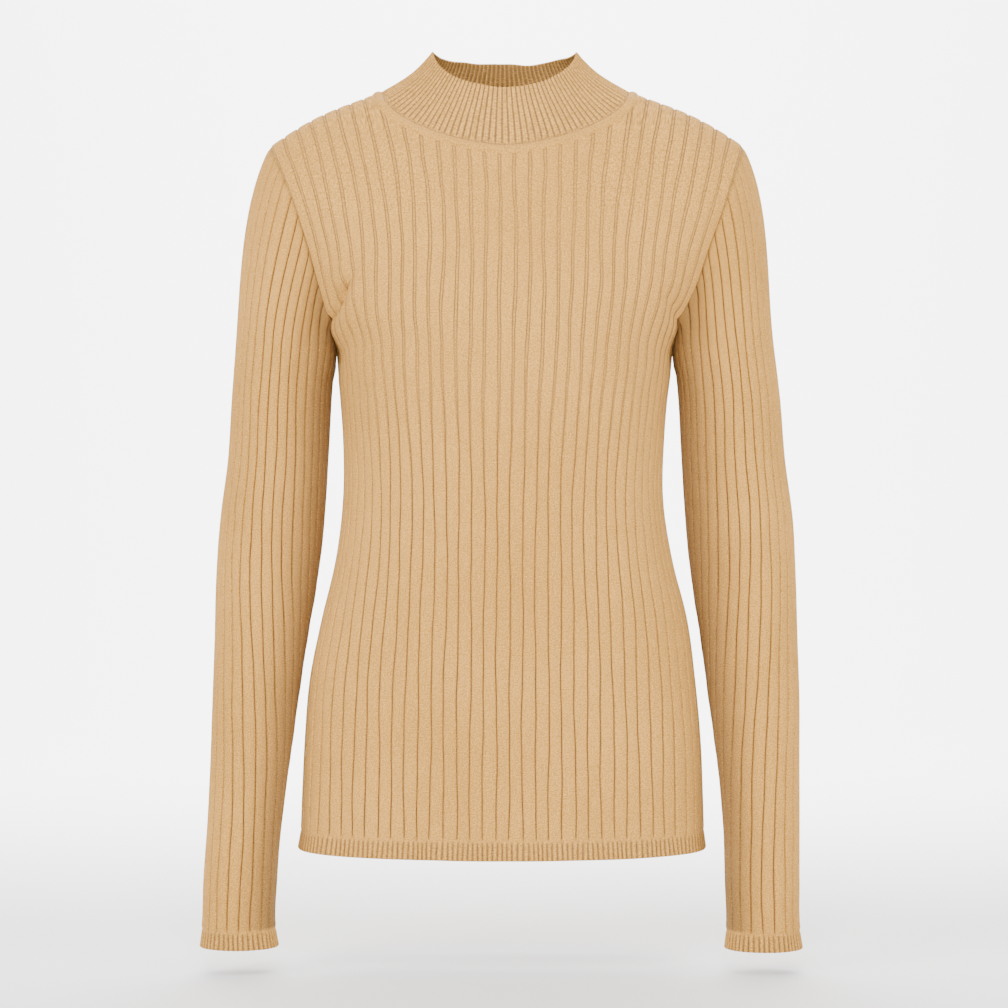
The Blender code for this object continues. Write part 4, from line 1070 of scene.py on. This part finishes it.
def rise(angles, shares):
    """Directions in which the collar rises, leaning in towards the middle of the neck."""
    turn = 2 * math.pi * shares
    front = within(-np.cos(turn)) ** 2
    back = within(np.cos(turn)) ** 2
    angle = np.radians(angles["side"] * (1 - front - back) + angles["front"] * front
                       + angles["back"] * back)
    inward = np.stack([np.sin(turn), -np.cos(turn)], axis=-1)
    return np.stack([inward[:, 0] * np.cos(angle), inward[:, 1] * np.cos(angle),
                     np.sin(angle)], axis=-1)


def collar(shares, t):
    """Inside points of the collar, from its seam (0) to its rim (1)."""
    places, corners = NECK_SEAM
    start = along(places, corners, shares % 1.0)
    end = rim(shares)
    length = np.linalg.norm(end - start, axis=-1, keepdims=True)
    return blend(start, rise(BASE_RISE, shares) * length, end, rise(RIM_RISE, shares) * length,
                 t)


def collar_normals(shares, t):
    """Outward directions of the collar along one row."""
    across = collar(shares + SLOPE_ROUND, t) - collar(shares - SLOPE_ROUND, t)
    up = (collar(shares, min(t + SLOPE_SHARE, 1.0))
          - collar(shares, max(t - SLOPE_SHARE, 0.0)))
    return turned_out(across, up, collar(shares, t))


def rim_wave(shares, t):
    """How far the collar's free edge rises or dips, mostly at the back of the neck."""
    turn = 2 * math.pi * shares
    wave = sum(tall * np.sin(rate * turn + start) for rate, start, tall in RIM_WAVES)
    return wave * t ** 3 * (0.35 + 0.65 * within(np.cos(turn)))


def collar_patches():
    """The rolled band along the neck seam, and the fine ribs above it up to the rim."""
    shares = np.linspace(0.0, 1.0, COLLAR_FINE_RIBS * FINE_STEPS + 1)
    phase = np.arange(len(shares)) / FINE_STEPS
    zero = np.zeros(len(shares))
    edges = (BAND_WALLS[0][0], BAND_WALLS[-1][0])
    # The band's edges and the gaps between the fine ribs above it carry painted shade.
    band = [(t, wall, zero + (SEAM_SHADE if t in edges else 0.0)) for t, wall in BAND_WALLS]
    fine = [band[-1]]
    for t in np.append(np.linspace(0.113, 0.99, 24), 1.0):
        swell = smoothstep((t - 0.095) / 0.04)
        rolled = ROLLED_IN if t == 1.0 else 0.0
        wall = FINE_WALL + (fine_wall(phase) - FINE_WALL) * swell - rolled
        fine.append((t, wall, np.maximum(fine_gap(phase, 0.19) * swell, SEAM_SHADE * (1 - swell))))
    uneven = sum(tall * np.sin(rate * 2 * math.pi * shares + start)
                 for rate, start, tall in BAND_WAVES)
    patches = []
    for part in (band, fine):
        rows = []
        for t, wall, _ in part:
            out = wall + uneven * math.exp(-((t - 0.025) / 0.035) ** 2)
            row = collar(shares, t) + collar_normals(shares, t) * out[:, None]
            row[:, 2] += rim_wave(shares, max(t, 0.0))
            row[-1] = row[0]
            rows.append(row)
        up = np.array([[t] for t, _, _ in part]) * COLLAR_HEIGHT
        wale, course = shares * COLLAR_FINE_RIBS, up / COURSE
        if part is band:
            wale, course = up / BAND_WALE, shares * BAND_LENGTH / COURSE
        patches.append(patch(rows, wale, course, [shade for _, _, shade in part]))
    return patches


# The third colour is the painted shade in the gaps, the band's edges and the stitch hollows.
neck = cloth_shell("neck_collar", collar_patches(),
                   lambda centre: Vector((centre.x, centre.y, 0.02)),
                   knit("collar knit", (0.455, 0.224, 0.039), (0.77, 0.398, 0.085),
                        (0.125, 0.069, 0.031)))
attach(neck, "root")
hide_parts("collar")

# --- Room, light and camera ------------------------------------------------------------------
# A pale sweep of floor and wall, soft light from both sides, the front and above, two lamps for
# the sweep itself, and a level camera.

FLOOR = cad_low.z - 0.02        # metres, like all of the room
SWEEP_START = 2.3               # the floor starts to turn up into the wall here
SWEEP_RADIUS = 1.5

bpy.ops.object.select_all(action="DESELECT")
bpy.ops.mesh.primitive_grid_add(x_subdivisions=2, y_subdivisions=160, size=14.0)
sweep = bpy.context.object
sweep.name = "sweep"
for corner in sweep.data.vertices:
    past = corner.co.y - SWEEP_START
    turn = min(max(past, 0.0) / SWEEP_RADIUS, math.pi / 2)
    straight = max(past - SWEEP_RADIUS * math.pi / 2, 0.0)
    if past > 0:
        corner.co.y = SWEEP_START + SWEEP_RADIUS * math.sin(turn)
        corner.co.z = SWEEP_RADIUS * (1 - math.cos(turn)) + straight
    corner.co.z += FLOOR
bpy.ops.object.shade_smooth()
paint = bpy.data.materials.new("sweep paint")
paint.use_nodes = True
paint.node_tree.nodes["Principled BSDF"].inputs["Base Color"].default_value = (0.93, 0.93, 0.93, 1)
paint.node_tree.nodes["Principled BSDF"].inputs["Roughness"].default_value = 0.8
sweep.data.materials.append(paint)

LIGHT_COLUMNS = ("name", "place", "turn", "size", "power")
LIGHTS = (
    ("key", (-2.2, -2.1, 0.9), (68.0, 0.0, -46.0), 1.6, 120.0),
    ("fill", (2.4, -2.0, 0.3), (78.0, 0.0, 50.0), 1.6, 92.0),
    ("front", (0.0, -2.7, 0.7), (75.0, 0.0, 0.0), 1.0, 32.0),
    ("top", (0.0, -2.0, 1.9), (48.0, 0.0, 0.0), 1.2, 76.0),
    ("wall", (0.0, 1.3, 2.2), (70.0, 0.0, 0.0), 3.0, 560.0),
    ("floor", (0.0, 1.5, 1.4), (0.0, 0.0, 0.0), 2.4, 120.0),
)
for light in LIGHTS:
    row = dict(zip(LIGHT_COLUMNS, light))
    lamp = bpy.data.lights.new(row["name"], "AREA")
    lamp.size = row["size"]
    lamp.energy = row["power"]
    stand = bpy.data.objects.new(row["name"], lamp)
    stand.location = row["place"]
    stand.rotation_euler = [math.radians(a) for a in row["turn"]]
    stand.visible_camera = False
    bpy.context.collection.objects.link(stand)
world = bpy.data.worlds.new("studio")
world.use_nodes = True
world.node_tree.nodes["Background"].inputs["Color"].default_value = (1.0, 1.0, 1.0, 1.0)
world.node_tree.nodes["Background"].inputs["Strength"].default_value = 0.24
bpy.context.scene.world = world

view = bpy.data.cameras.new("camera")
view.lens = 104.5
view.sensor_width = 36.0
camera = bpy.data.objects.new("camera", view)
camera.location = (0.0004, -2.4, -0.33702)
camera.rotation_euler = (math.radians(90.0), 0.0, 0.0)
bpy.context.collection.objects.link(camera)
bpy.context.scene.camera = camera
